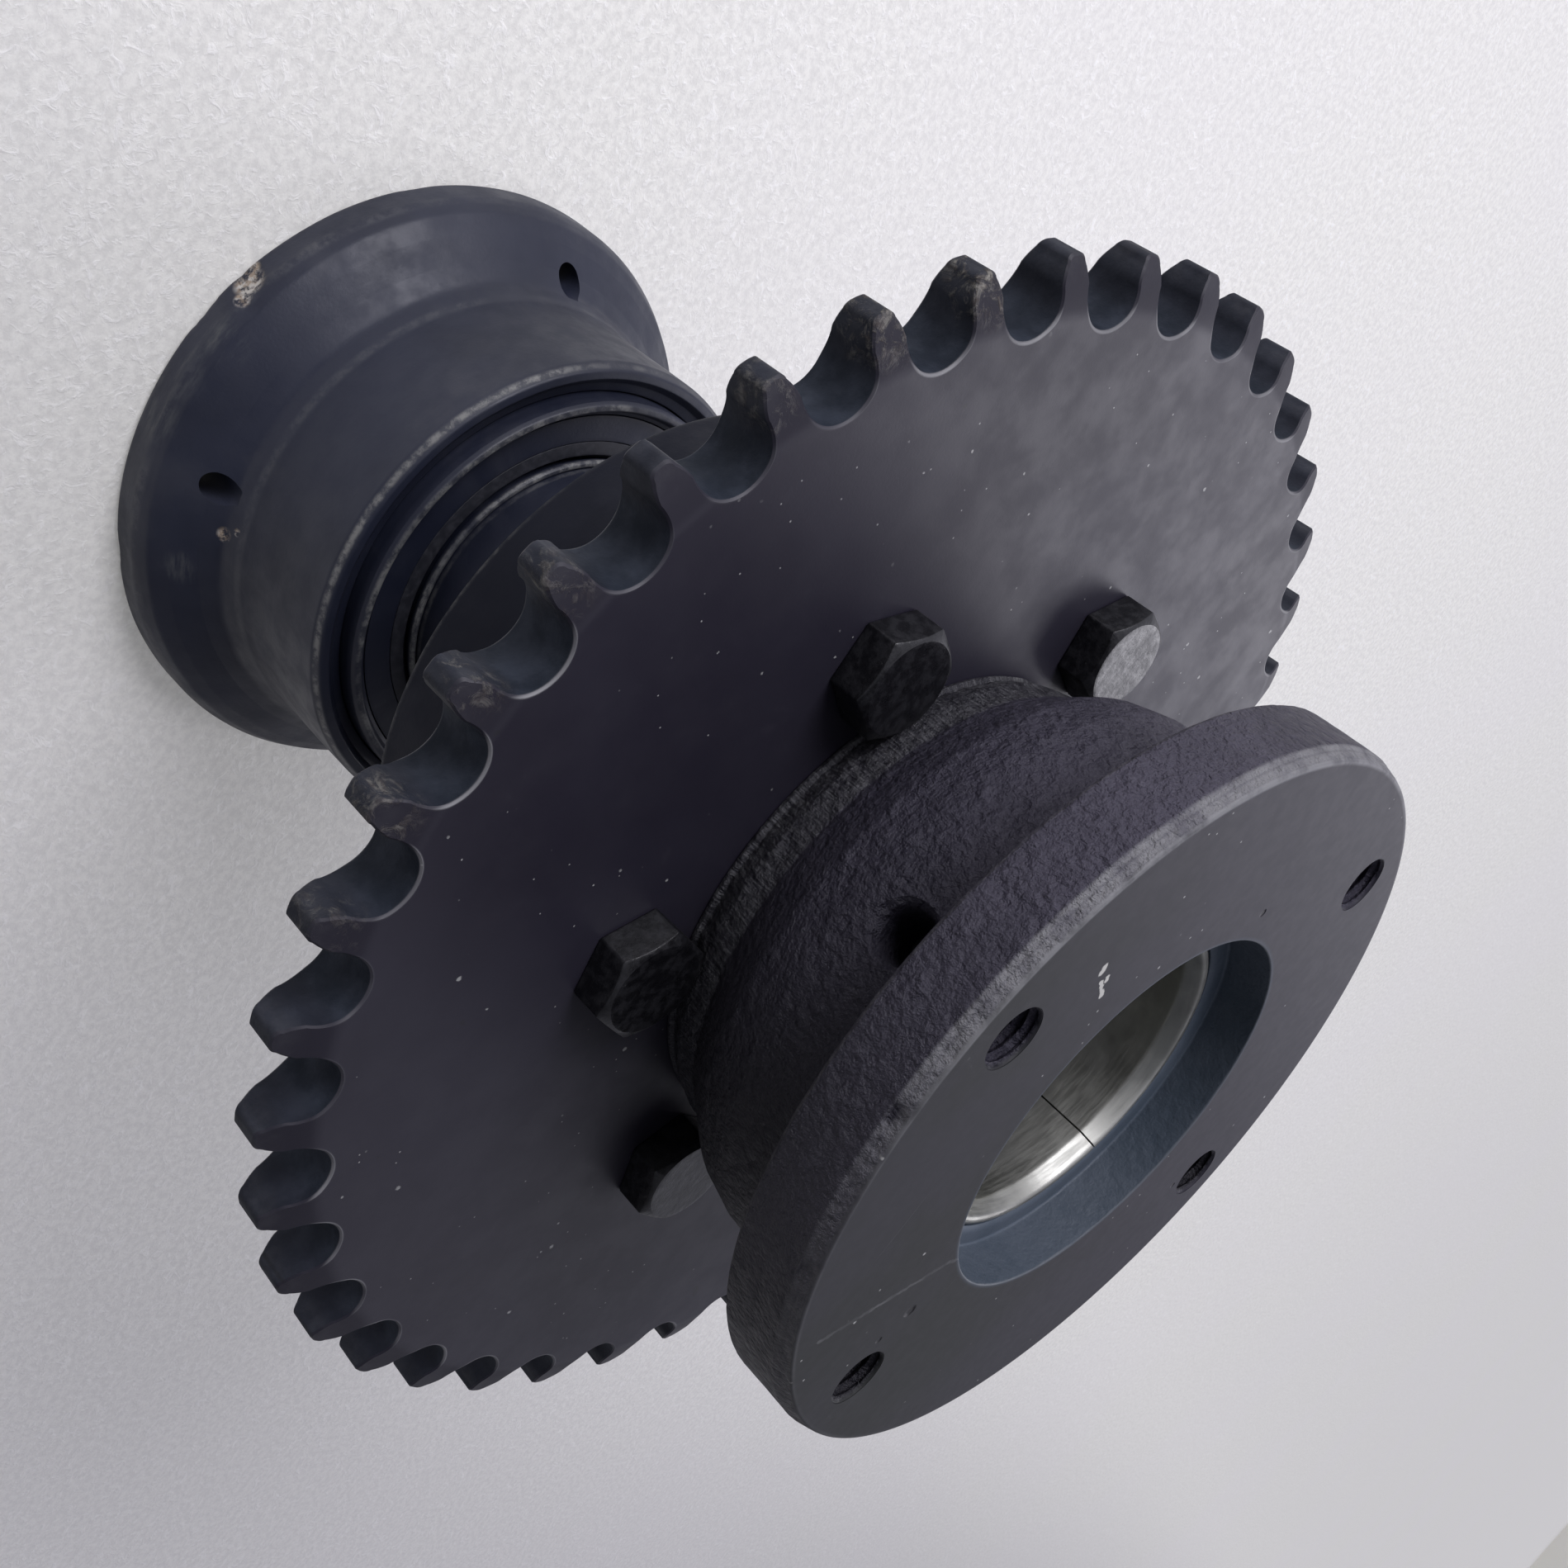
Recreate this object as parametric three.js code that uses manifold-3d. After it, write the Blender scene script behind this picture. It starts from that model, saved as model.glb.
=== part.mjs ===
import * as THREE from 'three';
import { mergeVertices } from 'three/addons/utils/BufferGeometryUtils.js';
import Module from 'manifold-3d';

// Roller-chain sprocket hub on a hollow quill, carried by two ball bearings in a flanged housing.
// Millimetres. The common axis is +Z, the rear mounting face of the housing is z = 0, the front flange face is z = 231.

const wasm = await Module();
wasm.setup();

// ---- driving dimensions -------------------------------------------------------------------------
const GAP = 0.3;               // clearance between neighbouring pieces
const TOTAL_H = 231;           // rear mounting face to front flange face
const SEG = 40;                // facets round a large turned surface
const SEG_IN = 32;             // facets round a hidden ring

// sprocket, 60-series roller chain (19.05 mm pitch)
const TEETH = 40;
const PITCH = 19.05;
const R_PITCH = PITCH / (2 * Math.sin(Math.PI / TEETH));   // 121.4
const R_TIP = 126.5;
const R_SEAT = 6.4;            // roller seat radius
const SPR_Z0 = 157, SPR_Z1 = 169;
const SPR_BORE = 45;
const GAP0_DEG = 101.606;      // angle of one tooth gap
const TOOTH_CH_R = 117.2;      // the tooth sides taper outside this radius
const TOOTH_CH_Z = 3;          // taper of each side at the tip

// hex bolts, M12
const BOLT_R = 63.4, BOLT_A0 = -6.1, BOLTS = 6;
const BOLT_AF = 19, HEAD_H = 7.6, SHANK_R = 6, SHANK_BOTTOM = 139;
const BOLT_HOLE_R = 6.5, TAPPED_R = 6.3, TAPPED_BOTTOM = 137;

// front hub
const HUB_SPIGOT_R = 44.7, HUB_SPIGOT_Z0 = 141;
const HUB_BARREL_R = 60, FLANGE_Z0 = 215.5, FLANGE_R = 74.3;
const PILOT_R = 37.75, PILOT_Z0 = 221.5;
const HUB_BORE_R = 30.5, BUSH_SEAT_R = 33.3, BUSH_SEAT_Z0 = 159.7;
const TAP_R = 5.9, TAP_PCR = 62, TAP_ANGLES = [82.3, 158.9, 262.4, 335.9];
const GRUB_HOLE_R = 4.8, GRUB_ANGLE = 81.9, GRUB_Z = 206.4;

// bush in the front bore
const BUSH_RI = 29.75, BUSH_RO = 33, BUSH_Z0 = 160, BUSH_Z1 = 221.2, BUSH_SEAM_DEG = 247, BUSH_SEAM_W = 0.5;

// carrier
const CAR_R = 67.3, CAR_Z0 = 98.6, CAR_Z1 = SPR_Z0 - GAP, CAR_FLANGE_R = 76, CAR_FLANGE_Z0 = 136;
const CAR_SPIGOT_R = HUB_SPIGOT_R + GAP, CAR_SPIGOT_Z0 = HUB_SPIGOT_Z0 - GAP;

// quill
const Q_RO = 35, Q_RI = 30.2, Q_Z0 = 0.6, Q_Z1 = CAR_SPIGOT_Z0 - GAP, Q_COLLAR_R = 38.5;

// housing
const H_FLANGE_R = 72.6, H_DRUM_R = 57, H_LIP_Z = 58.5, H_BORE_R = 50, H_HOLE_R = 3.4, H_HOLE_PCR = 61.2;
const H_HOLES = [11.6, 107.6, 191.6, 287.6];

// bearings, 70 x 100 x 16
const B_RO = H_BORE_R - GAP, B_RI = Q_RO + GAP, B_W = 16, B_RM = 42.5, BALL_R = 4.5, GROOVE_R = 4.85, BALLS = 12;
const REAR_B_Z0 = 7, FRONT_B_Z0 = 30.6;

// ---- helpers ------------------------------------------------------------------------------------
const rad = (d) => d * Math.PI / 180;

function toSolid(geometry) {
  const g = geometry.clone();
  g.deleteAttribute('normal');
  g.deleteAttribute('uv');
  const m = mergeVertices(g, 1e-4);
  const p = m.attributes.position.array;
  const src = m.index.array;
  const idx = [];
  for (let i = 0; i < src.length; i += 3) {
    const a = src[i], b = src[i + 1], c = src[i + 2];
    if (a !== b && b !== c && a !== c) idx.push(a, b, c);
  }
  let vol = 0;
  for (let i = 0; i < idx.length; i += 3) {
    const [ax, ay, az] = [p[3 * idx[i]], p[3 * idx[i] + 1], p[3 * idx[i] + 2]];
    const [bx, by, bz] = [p[3 * idx[i + 1]], p[3 * idx[i + 1] + 1], p[3 * idx[i + 1] + 2]];
    const [cx, cy, cz] = [p[3 * idx[i + 2]], p[3 * idx[i + 2] + 1], p[3 * idx[i + 2] + 2]];
    vol += ax * (by * cz - bz * cy) + ay * (bz * cx - bx * cz) + az * (bx * cy - by * cx);
  }
  if (vol < 0) for (let i = 0; i < idx.length; i += 3) { const t = idx[i]; idx[i] = idx[i + 1]; idx[i + 1] = t; }
  return new wasm.Manifold(new wasm.Mesh({
    numProp: 3, vertProperties: new Float32Array(p), triVerts: new Uint32Array(idx),
  }));
}

// ring or solid of revolution from [radius, z] points; the profile closes on itself
function turned(profile, seg = SEG) {
  const pts = profile.map(([r, z]) => new THREE.Vector2(r, z));
  pts.push(pts[0].clone());
  const g = new THREE.LatheGeometry(pts, seg);
  g.rotateX(Math.PI / 2);
  return toSolid(g);
}

// round bar along Z between z0 and z1 at (x, y)
function bar(r, z0, z1, x = 0, y = 0, seg = 16) {
  const g = new THREE.CylinderGeometry(r, r, z1 - z0, seg);
  g.rotateX(Math.PI / 2);
  g.translate(x, y, (z0 + z1) / 2);
  return toSolid(g);
}

// box with its length along the radius at the given angle
function radialBox(r0, r1, width, z0, z1, deg) {
  const g = new THREE.BoxGeometry(r1 - r0, width, z1 - z0);
  g.translate((r0 + r1) / 2, 0, (z0 + z1) / 2);
  g.rotateZ(rad(deg));
  return toSolid(g);
}

// round bar along the radius at the given angle
function radialBar(r, r0, r1, z, deg, seg = 16) {
  const g = new THREE.CylinderGeometry(r, r, r1 - r0, seg);
  g.rotateZ(-Math.PI / 2);
  g.translate((r0 + r1) / 2, 0, z);
  g.rotateZ(rad(deg));
  return toSolid(g);
}

const onCircle = (r, deg) => [r * Math.cos(rad(deg)), r * Math.sin(rad(deg))];

const group = new THREE.Group();

function add(name, body, color, roughness, metalness) {
  const out = body.getMesh();
  const g = new THREE.BufferGeometry();
  const stride = out.numProp;
  const n = out.vertProperties.length / stride;
  const pos = new Float32Array(n * 3);
  for (let i = 0; i < n; i++) {
    pos[3 * i] = out.vertProperties[stride * i];
    pos[3 * i + 1] = out.vertProperties[stride * i + 1];
    pos[3 * i + 2] = out.vertProperties[stride * i + 2];
  }
  g.setAttribute('position', new THREE.BufferAttribute(pos, 3));
  g.setIndex(new THREE.BufferAttribute(new Uint32Array(out.triVerts), 1));
  g.computeVertexNormals();
  const mesh = new THREE.Mesh(g, new THREE.MeshStandardMaterial({ color, roughness, metalness }));
  mesh.name = name;
  group.add(mesh);
}

// ---- bearing housing ----------------------------------------------------------------------------
{
  let s = turned([
    [51, 0], [H_FLANGE_R, 0], [72.2, 7.5], [70.4, 10.6], [67.4, 13.6], [62.5, 17.3], [58.9, 20.9], [57.3, 25.7],
    [H_DRUM_R, 30], [H_DRUM_R, 56], [56.1, 58], [54.4, H_LIP_Z], [52.4, 57.2], [50.5, 56.4],
    [50.5, 49.2], [46, 49.2], [46, 46.9],
    [H_BORE_R, 46.9], [H_BORE_R, REAR_B_Z0], [52.2, REAR_B_Z0], [52.2, 3.9], [H_BORE_R, 3.9], [H_BORE_R, 1],
  ]);
  for (const a of H_HOLES) {
    const [x, y] = onCircle(H_HOLE_PCR, a);
    s = s.subtract(bar(H_HOLE_R, -1, 30, x, y, 12));
  }
  add('bearing_housing', s, 0x2c2d36, 0.55, 0.4);
}

// ---- shaft seal group in the mouth of the housing ----------------------------------------------
add('front_seal_retainer', turned([
  [46.5, 49.5], [50.2, 49.5], [50.2, 60.9], [49.4, 61.7], [48.4, 61.7], [46.5, 59.6],
], SEG_IN), 0x3a3b44, 0.4, 0.6);
add('front_oil_seal_case', turned([
  [40.3, 50.5], [46.2, 50.5], [46.2, 59.3], [40.3, 59.3],
], SEG_IN), 0x15161a, 0.6, 0.1);
add('front_oil_seal_lip', turned([
  [36.6, 51], [40, 51], [40, 58.9], [37.2, 58.9], [35.3, 56.6], [35.3, 55.4], [36.6, 54],
], SEG_IN), 0x0e0e10, 0.7, 0.0);
add('shaft_dust_ring', turned([
  [35.3, 59.6], [36.6, 59.6], [36.6, 61.2], [35.3, 61.2],
], SEG_IN), 0x2a2b30, 0.5, 0.3);

// ---- bearings ---------------------------------------------------------------------------------
function grooveArc(side) {
  // ball groove between the lands, listed bottom to top; side +1 = in the outer ring, -1 = in the inner ring
  const land = 3.1;
  const half = Math.sqrt(GROOVE_R * GROOVE_R - land * land);
  const a0 = Math.atan2(half, land);
  const pts = [];
  for (let i = 0; i <= 4; i++) {
    const a = -a0 + (2 * a0 * i) / 4;
    pts.push([B_RM + side * GROOVE_R * Math.cos(a), GROOVE_R * Math.sin(a)]);
  }
  return pts;
}

function bearing(prefix, z0) {
  const zc = z0 + B_W / 2;
  const z1 = z0 + B_W;
  const up = (p) => [p[0], p[1] + zc];
  const outer = [[B_RM + 3.1, z1], [B_RO, z1], [B_RO, z0], [B_RM + 3.1, z0]].concat(grooveArc(1).map(up));
  add(`${prefix}_bearing_outer_ring`, turned(outer, SEG_IN), 0xb8babd, 0.25, 0.9);
  const inner = [[B_RM - 3.1, z1], [B_RI, z1], [B_RI, z0], [B_RM - 3.1, z0]].concat(grooveArc(-1).map(up));
  add(`${prefix}_bearing_inner_ring`, turned(inner, SEG_IN), 0xb8babd, 0.25, 0.9);
  let cage = turned([[41.2, zc - 5.6], [43.8, zc - 5.6], [43.8, zc + 5.6], [41.2, zc + 5.6]], SEG_IN);
  for (let i = 0; i < BALLS; i++) {
    const g = new THREE.SphereGeometry(BALL_R, 8, 5);
    g.rotateX(Math.PI / 2);
    const [x, y] = onCircle(B_RM, (360 / BALLS) * i);
    g.translate(x, y, zc);
    cage = cage.add(toSolid(g));
  }
  add(`${prefix}_ball_cage`, cage, 0xc09a4a, 0.35, 0.8);
}
bearing('front', FRONT_B_Z0);
bearing('rear', REAR_B_Z0);

add('outer_spacer_ring', turned([[45.2, 23.3], [B_RO, 23.3], [B_RO, 30.3], [45.2, 30.3]], SEG_IN), 0x6c6f75, 0.4, 0.8);
add('inner_spacer_sleeve', turned([[B_RI, 23.3], [39.2, 23.3], [39.2, 30.3], [B_RI, 30.3]], SEG_IN), 0x6c6f75, 0.4, 0.8);
add('rear_housing_circlip', turned([[46, 4.2], [51.8, 4.2], [51.8, 6.7], [46, 6.7]], SEG_IN)
  .subtract(radialBox(40, 56, 14, 3, 8, 270)), 0x33343a, 0.4, 0.7);

// ---- quill ----------------------------------------------------------------------------------
const CKEY = { w: 14, r0: 31.6, r1: 39.4, z0: 105, z1: 134, a: 150 };
{
  let s = turned([
    [Q_RI, Q_Z0], [34.2, Q_Z0], [Q_RO, 1.4], [Q_RO, 46.9], [Q_COLLAR_R, 46.9], [Q_COLLAR_R, 50.2], [Q_RO, 50.2],
    [Q_RO, Q_Z1], [Q_RI, Q_Z1],
  ]);
  s = s.subtract(radialBox(CKEY.r0 - GAP, 45, CKEY.w + 2 * GAP, CKEY.z0 - GAP, CKEY.z1 + GAP, CKEY.a));
  add('quill_shaft', s, 0x26272c, 0.4, 0.7);
}
{
  let nut = turned([[B_RI, 0.8], [42.5, 0.8], [43.5, 1.8], [43.5, 5], [B_RI, 5]]);
  for (let i = 0; i < 4; i++) nut = nut.subtract(radialBox(40.6, 46, 7, 0, 6, 45 + 90 * i));
  add('shaft_lock_nut', nut, 0x4a4b50, 0.4, 0.8);
  let washer = turned([[B_RI, 5.3], [41.4, 5.3], [41.4, 6.7], [B_RI, 6.7]]);
  for (let i = 0; i < 8; i++) washer = washer.add(radialBox(41, 43.4, 5, 5.3, 6.7, 22.5 + 45 * i));
  add('shaft_lock_washer', washer, 0x7d7f84, 0.4, 0.8);
}

// ---- carrier ----------------------------------------------------------------------------------
const HKEY = { w: 12, r0: 40.6, r1: 49.4, z0: 141.6, z1: 156.2, a: 24 };
{
  let s = turned([
    [Q_RO + GAP, CAR_Z0], [65.8, CAR_Z0], [CAR_R, 100.1], [CAR_R, 129.5], [69.5, 133.6], [CAR_FLANGE_R, CAR_FLANGE_Z0],
    [CAR_FLANGE_R, CAR_Z1 - 1], [75, CAR_Z1], [CAR_SPIGOT_R, CAR_Z1], [CAR_SPIGOT_R, CAR_SPIGOT_Z0],
    [Q_RO + GAP, CAR_SPIGOT_Z0],
  ]);
  for (let i = 0; i < BOLTS; i++) {
    const [x, y] = onCircle(BOLT_R, BOLT_A0 + 60 * i);
    s = s.subtract(bar(TAPPED_R, TAPPED_BOTTOM, CAR_Z1 + 1, x, y, 12));
  }
  s = s.subtract(radialBox(30, CKEY.r1 + GAP, CKEY.w + 2 * GAP, CKEY.z0 - GAP, 145, CKEY.a));
  s = s.subtract(radialBox(40, HKEY.r1 + GAP, HKEY.w + 2 * GAP, HKEY.z0 - 0.9, 160, HKEY.a));
  add('carrier_hub', s, 0x2a2b33, 0.5, 0.5);
}
add('carrier_key', radialBox(CKEY.r0, CKEY.r1, CKEY.w, CKEY.z0, CKEY.z1, CKEY.a), 0x8a8c90, 0.4, 0.8);
add('hub_key', radialBox(HKEY.r0, HKEY.r1, HKEY.w, HKEY.z0, HKEY.z1, HKEY.a), 0x8a8c90, 0.4, 0.8);

// ---- sprocket -----------------------------------------------------------------------------------
{
  const shape = new THREE.Shape();
  const first = [];
  const step = 360 / TEETH;
  for (let k = 0; k < TEETH; k++) {
    const g = GAP0_DEG + step * k;
    const [cx, cy] = onCircle(R_PITCH, g);
    // leading tip corner, roller seat, trailing tip corner
    first.push(onCircle(R_TIP, g - step / 2 + 0.58));
    for (let i = 0; i <= 4; i++) {
      const t = -96 + (192 * i) / 4;             // along the seat, 0 = bottom
      const dir = rad(g + 180 - t);
      first.push([cx + R_SEAT * Math.cos(dir), cy + R_SEAT * Math.sin(dir)]);
    }
    first.push(onCircle(R_TIP, g + step / 2 - 0.58));
  }
  first.forEach(([x, y], i) => (i ? shape.lineTo(x, y) : shape.moveTo(x, y)));
  const plate = new THREE.ExtrudeGeometry(shape, { depth: SPR_Z1 - SPR_Z0, bevelEnabled: false, steps: 1 });
  plate.translate(0, 0, SPR_Z0);
  const c = 1 / Math.cos(Math.PI / 80);
  const rimR = R_TIP + 4;
  const slope = TOOTH_CH_Z / (R_TIP - TOOTH_CH_R);
  const dz = slope * (rimR - TOOTH_CH_R);
  const blank = turned([
    [SPR_BORE, SPR_Z0], [TOOTH_CH_R * c, SPR_Z0], [rimR * c, SPR_Z0 + dz], [rimR * c, SPR_Z1 - dz],
    [TOOTH_CH_R * c, SPR_Z1], [SPR_BORE, SPR_Z1],
  ], 80);
  let s = toSolid(plate).intersect(blank);
  for (let i = 0; i < BOLTS; i++) {
    const [x, y] = onCircle(BOLT_R, BOLT_A0 + 60 * i);
    s = s.subtract(bar(BOLT_HOLE_R, SPR_Z0 - 1, SPR_Z1 + 1, x, y, 12));
  }
  add('chain_sprocket', s, 0x2b2b2f, 0.45, 0.6);
}

// ---- bolts --------------------------------------------------------------------------------------
for (let i = 0; i < BOLTS; i++) {
  const z0 = SPR_Z1 + GAP;
  const hex = new THREE.Shape();
  for (let k = 0; k < 6; k++) {
    const [x, y] = onCircle(BOLT_AF / 2 / Math.cos(Math.PI / 6), 60 * k);
    k ? hex.lineTo(x, y) : hex.moveTo(x, y);
  }
  const head = new THREE.ExtrudeGeometry(hex, { depth: HEAD_H, bevelEnabled: false });
  // shallow chamfer cone: keeps the flats full height and trims only the corners
  const trim = new THREE.CylinderGeometry(9.1, 14.5, 3.1, 18);
  trim.rotateX(Math.PI / 2);
  trim.translate(0, 0, HEAD_H - 1.55);
  const low = bar(14.5, -1, HEAD_H - 3.1, 0, 0, 18);
  let s = toSolid(head).intersect(toSolid(trim).add(low));
  s = s.add(bar(SHANK_R, SHANK_BOTTOM - z0, 1, 0, 0, 12));
  const a = BOLT_A0 + 60 * i;
  const [x, y] = onCircle(BOLT_R, a);
  s = s.rotate([0, 0, a + 11 * i]).translate([x, y, z0]);
  add(`sprocket_bolt_${i + 1}`, s, 0x17181b, 0.25, 0.7);
}

// ---- front hub ----------------------------------------------------------------------------------
{
  let s = turned([
    [HUB_BORE_R, HUB_SPIGOT_Z0], [HUB_SPIGOT_R, HUB_SPIGOT_Z0], [HUB_SPIGOT_R, SPR_Z1 + GAP], [49.8, SPR_Z1 + GAP],
    [52.2, 179.8], [54.8, 183.6], [58, 188.4], [59.4, 193.3], [HUB_BARREL_R, 198], [HUB_BARREL_R, FLANGE_Z0],
    [73.3, FLANGE_Z0], [FLANGE_R, FLANGE_Z0 + 1], [FLANGE_R, 228], [73.3, TOTAL_H], [PILOT_R, TOTAL_H],
    [PILOT_R, PILOT_Z0], [BUSH_SEAT_R, PILOT_Z0], [BUSH_SEAT_R, BUSH_SEAT_Z0], [HUB_BORE_R, BUSH_SEAT_Z0],
  ]);
  for (const a of TAP_ANGLES) {
    const [x, y] = onCircle(TAP_PCR, a);
    s = s.subtract(bar(TAP_R, 213, TOTAL_H + 1, x, y, 14));
  }
  s = s.subtract(radialBar(GRUB_HOLE_R, 31, 70, GRUB_Z, GRUB_ANGLE));
  s = s.subtract(radialBox(HKEY.r0 - GAP, 50, HKEY.w + 2 * GAP, 140, HKEY.z1 + GAP, HKEY.a));
  add('front_hub', s, 0x34353d, 0.45, 0.55);
}
{
  let s = turned([[BUSH_RI, BUSH_Z0], [BUSH_RO, BUSH_Z0], [BUSH_RO, 220.6], [32.4, BUSH_Z1], [30.6, BUSH_Z1], [BUSH_RI, 219.6]]);
  s = s.subtract(radialBox(27, 36, BUSH_SEAM_W, 150, 230, BUSH_SEAM_DEG));
  add('front_bushing', s, 0x8b8b82, 0.35, 0.85);
}
{
  let s = radialBar(4.5, 35, 47, GRUB_Z, GRUB_ANGLE);
  const sock = new THREE.CylinderGeometry(2.9, 2.9, 6, 6);
  sock.rotateZ(-Math.PI / 2);
  sock.translate(45, 0, GRUB_Z);
  sock.rotateZ(rad(GRUB_ANGLE));
  s = s.subtract(toSolid(sock));
  add('hub_grub_screw', s, 0x1c1d20, 0.35, 0.7);
}

export default group;
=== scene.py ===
import bpy
import bmesh
import math
import random
from mathutils import Matrix, Vector, noise


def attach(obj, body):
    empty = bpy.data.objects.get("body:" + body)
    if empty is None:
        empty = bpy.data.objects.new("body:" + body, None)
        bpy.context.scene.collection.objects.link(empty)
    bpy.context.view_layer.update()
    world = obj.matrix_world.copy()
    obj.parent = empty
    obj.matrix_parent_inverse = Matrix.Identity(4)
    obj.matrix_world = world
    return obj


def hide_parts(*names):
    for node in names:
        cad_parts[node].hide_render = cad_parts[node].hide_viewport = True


# Looks for the sprocket drive hub. Lengths in this script are millimetres and become metres in the meshes.
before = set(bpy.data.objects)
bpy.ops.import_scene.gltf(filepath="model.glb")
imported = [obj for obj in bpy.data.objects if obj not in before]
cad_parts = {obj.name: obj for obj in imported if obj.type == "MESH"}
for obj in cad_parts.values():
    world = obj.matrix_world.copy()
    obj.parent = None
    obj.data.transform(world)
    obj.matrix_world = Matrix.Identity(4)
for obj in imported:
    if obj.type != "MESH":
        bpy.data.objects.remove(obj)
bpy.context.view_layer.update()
MM = 0.001
rnd = random.Random(7)


# ---------------------------------------------------------------------------------------------
# mesh tools
# ---------------------------------------------------------------------------------------------
def rounded(points):
    """Closed outline of (r, z) or (r, z, fillet) points, with real fillets and a support point beside each."""
    out = []
    n = len(points)
    for i, p in enumerate(points):
        fil = p[2] if len(p) > 2 else 0.0
        b = Vector(p[:2])
        if fil <= 0:
            out.append((b.x, b.y))
            continue
        a, c = Vector(points[i - 1][:2]), Vector(points[(i + 1) % n][:2])
        u, v = a - b, c - b
        lu, lv = u.length, v.length
        u /= lu
        v /= lv
        ang = u.angle(v)
        t = min(fil / math.tan(ang / 2), 0.47 * lu, 0.47 * lv)
        fr = t * math.tan(ang / 2)
        cen = b + (u + v).normalized() * (fr / math.sin(ang / 2))
        p0, p1 = b + u * t, b + v * t
        a0 = math.atan2(p0.y - cen.y, p0.x - cen.x)
        a1 = math.atan2(p1.y - cen.y, p1.x - cen.x)
        d = (a1 - a0 + math.pi) % (2 * math.pi) - math.pi
        steps = max(3, int(abs(math.degrees(d)) / 14))
        su = min(0.4, 0.3 * (lu - t))
        sv = min(0.4, 0.3 * (lv - t))
        q = p0 + u * su
        out.append((q.x, q.y))
        for k in range(steps + 1):
            w = a0 + d * k / steps
            out.append((cen.x + fr * math.cos(w), cen.y + fr * math.sin(w)))
        q = p1 + v * sv
        out.append((q.x, q.y))
    return out


def dense(points, longest):
    """Splits long straight runs, so that a warp has points to move."""
    out = []
    n = len(points)
    for i in range(n):
        a, b = Vector(points[i]), Vector(points[(i + 1) % n])
        k = max(1, math.ceil((b - a).length / longest))
        for j in range(k):
            q = a.lerp(b, j / k)
            out.append((q.x, q.y))
    return out


def make(name, verts, faces, sharp=32):
    me = bpy.data.meshes.new(name)
    me.from_pydata([(x * MM, y * MM, z * MM) for x, y, z in verts], [], faces)
    bm = bmesh.new()
    bm.from_mesh(me)
    bmesh.ops.remove_doubles(bm, verts=bm.verts, dist=1e-7)
    bmesh.ops.recalc_face_normals(bm, faces=bm.faces)
    bm.to_mesh(me)
    bm.free()
    ob = bpy.data.objects.new(name, me)
    bpy.context.scene.collection.objects.link(ob)
    smooth(ob, sharp)
    return ob


def smooth(ob, sharp=32):
    me = ob.data
    me.shade_smooth()
    me.set_sharp_from_angle(angle=math.radians(sharp))


def lathe(name, outline, seg=256, warp=None, sharp=32):
    verts, faces = [], []
    n = len(outline)
    for j in range(seg):
        a = 2 * math.pi * j / seg
        ca, sa = math.cos(a), math.sin(a)
        for r, z in outline:
            if warp:
                r2, z2 = warp(r, z, a)
            else:
                r2, z2 = r, z
            verts.append((r2 * ca, r2 * sa, z2))
    for j in range(seg):
        j2 = (j + 1) % seg
        for i in range(n):
            i2 = (i + 1) % n
            faces.append((j * n + i, j2 * n + i, j2 * n + i2, j * n + i2))
    return make(name, verts, faces, sharp)


def tube_verts(r, z0, z1, x, y, seg=48):
    v = []
    for z in (z0, z1):
        for j in range(seg):
            a = 2 * math.pi * j / seg
            v.append((x + r * math.cos(a), y + r * math.sin(a), z))
    return v


def bar(name, r0, r1, z0, z1, x=0.0, y=0.0, seg=48):
    """Round bar or cone along Z."""
    v = []
    for r, z in ((r0, z0), (r1, z1)):
        for j in range(seg):
            a = 2 * math.pi * j / seg
            v.append((x + r * math.cos(a), y + r * math.sin(a), z))
    f = [tuple(range(seg - 1, -1, -1)), tuple(range(seg, 2 * seg))]
    for j in range(seg):
        k = (j + 1) % seg
        f.append((j, k, seg + k, seg + j))
    return make(name, v, f)


def radial_bar(name, prof, z, deg, seg=48):
    """Turned piece along the radius at deg: prof is [(distance along the radius, own radius), ...]."""
    a = math.radians(deg)
    ux, uy = math.cos(a), math.sin(a)
    v, f = [], []
    for s, r in prof:
        for j in range(seg):
            w = 2 * math.pi * j / seg
            t, h = r * math.cos(w), r * math.sin(w)
            v.append((ux * s - uy * t, uy * s + ux * t, z + h))
    m = len(prof)
    for i in range(m - 1):
        for j in range(seg):
            k = (j + 1) % seg
            f.append((i * seg + j, i * seg + k, (i + 1) * seg + k, (i + 1) * seg + j))
    f.append(tuple(range(seg - 1, -1, -1)))
    f.append(tuple(range((m - 1) * seg, m * seg)))
    return make(name, v, f)


def boolean(ob, others, op="DIFFERENCE"):
    for o in others:
        m = ob.modifiers.new("cut", "BOOLEAN")
        m.operation = op
        m.solver = "EXACT"
        m.object = o
    bpy.context.view_layer.update()
    dg = bpy.context.evaluated_depsgraph_get()
    me = bpy.data.meshes.new_from_object(ob.evaluated_get(dg))
    ob.modifiers.clear()
    old = ob.data
    ob.data = me
    bpy.data.meshes.remove(old)
    for o in others:
        bpy.data.objects.remove(o)
    smooth(ob)
    return ob


def edge_bevel(ob, width, segments=2, angle=35):
    m = ob.modifiers.new("edge", "BEVEL")
    m.width = width * MM
    m.segments = segments
    m.limit_method = "ANGLE"
    m.angle_limit = math.radians(angle)
    m.harden_normals = True
    return ob


def settle(ob, sharp=32):
    """Applies the modifiers."""
    bpy.context.view_layer.update()
    dg = bpy.context.evaluated_depsgraph_get()
    me = bpy.data.meshes.new_from_object(ob.evaluated_get(dg))
    ob.modifiers.clear()
    ob.data = me
    smooth(ob, sharp)
    return ob


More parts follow.
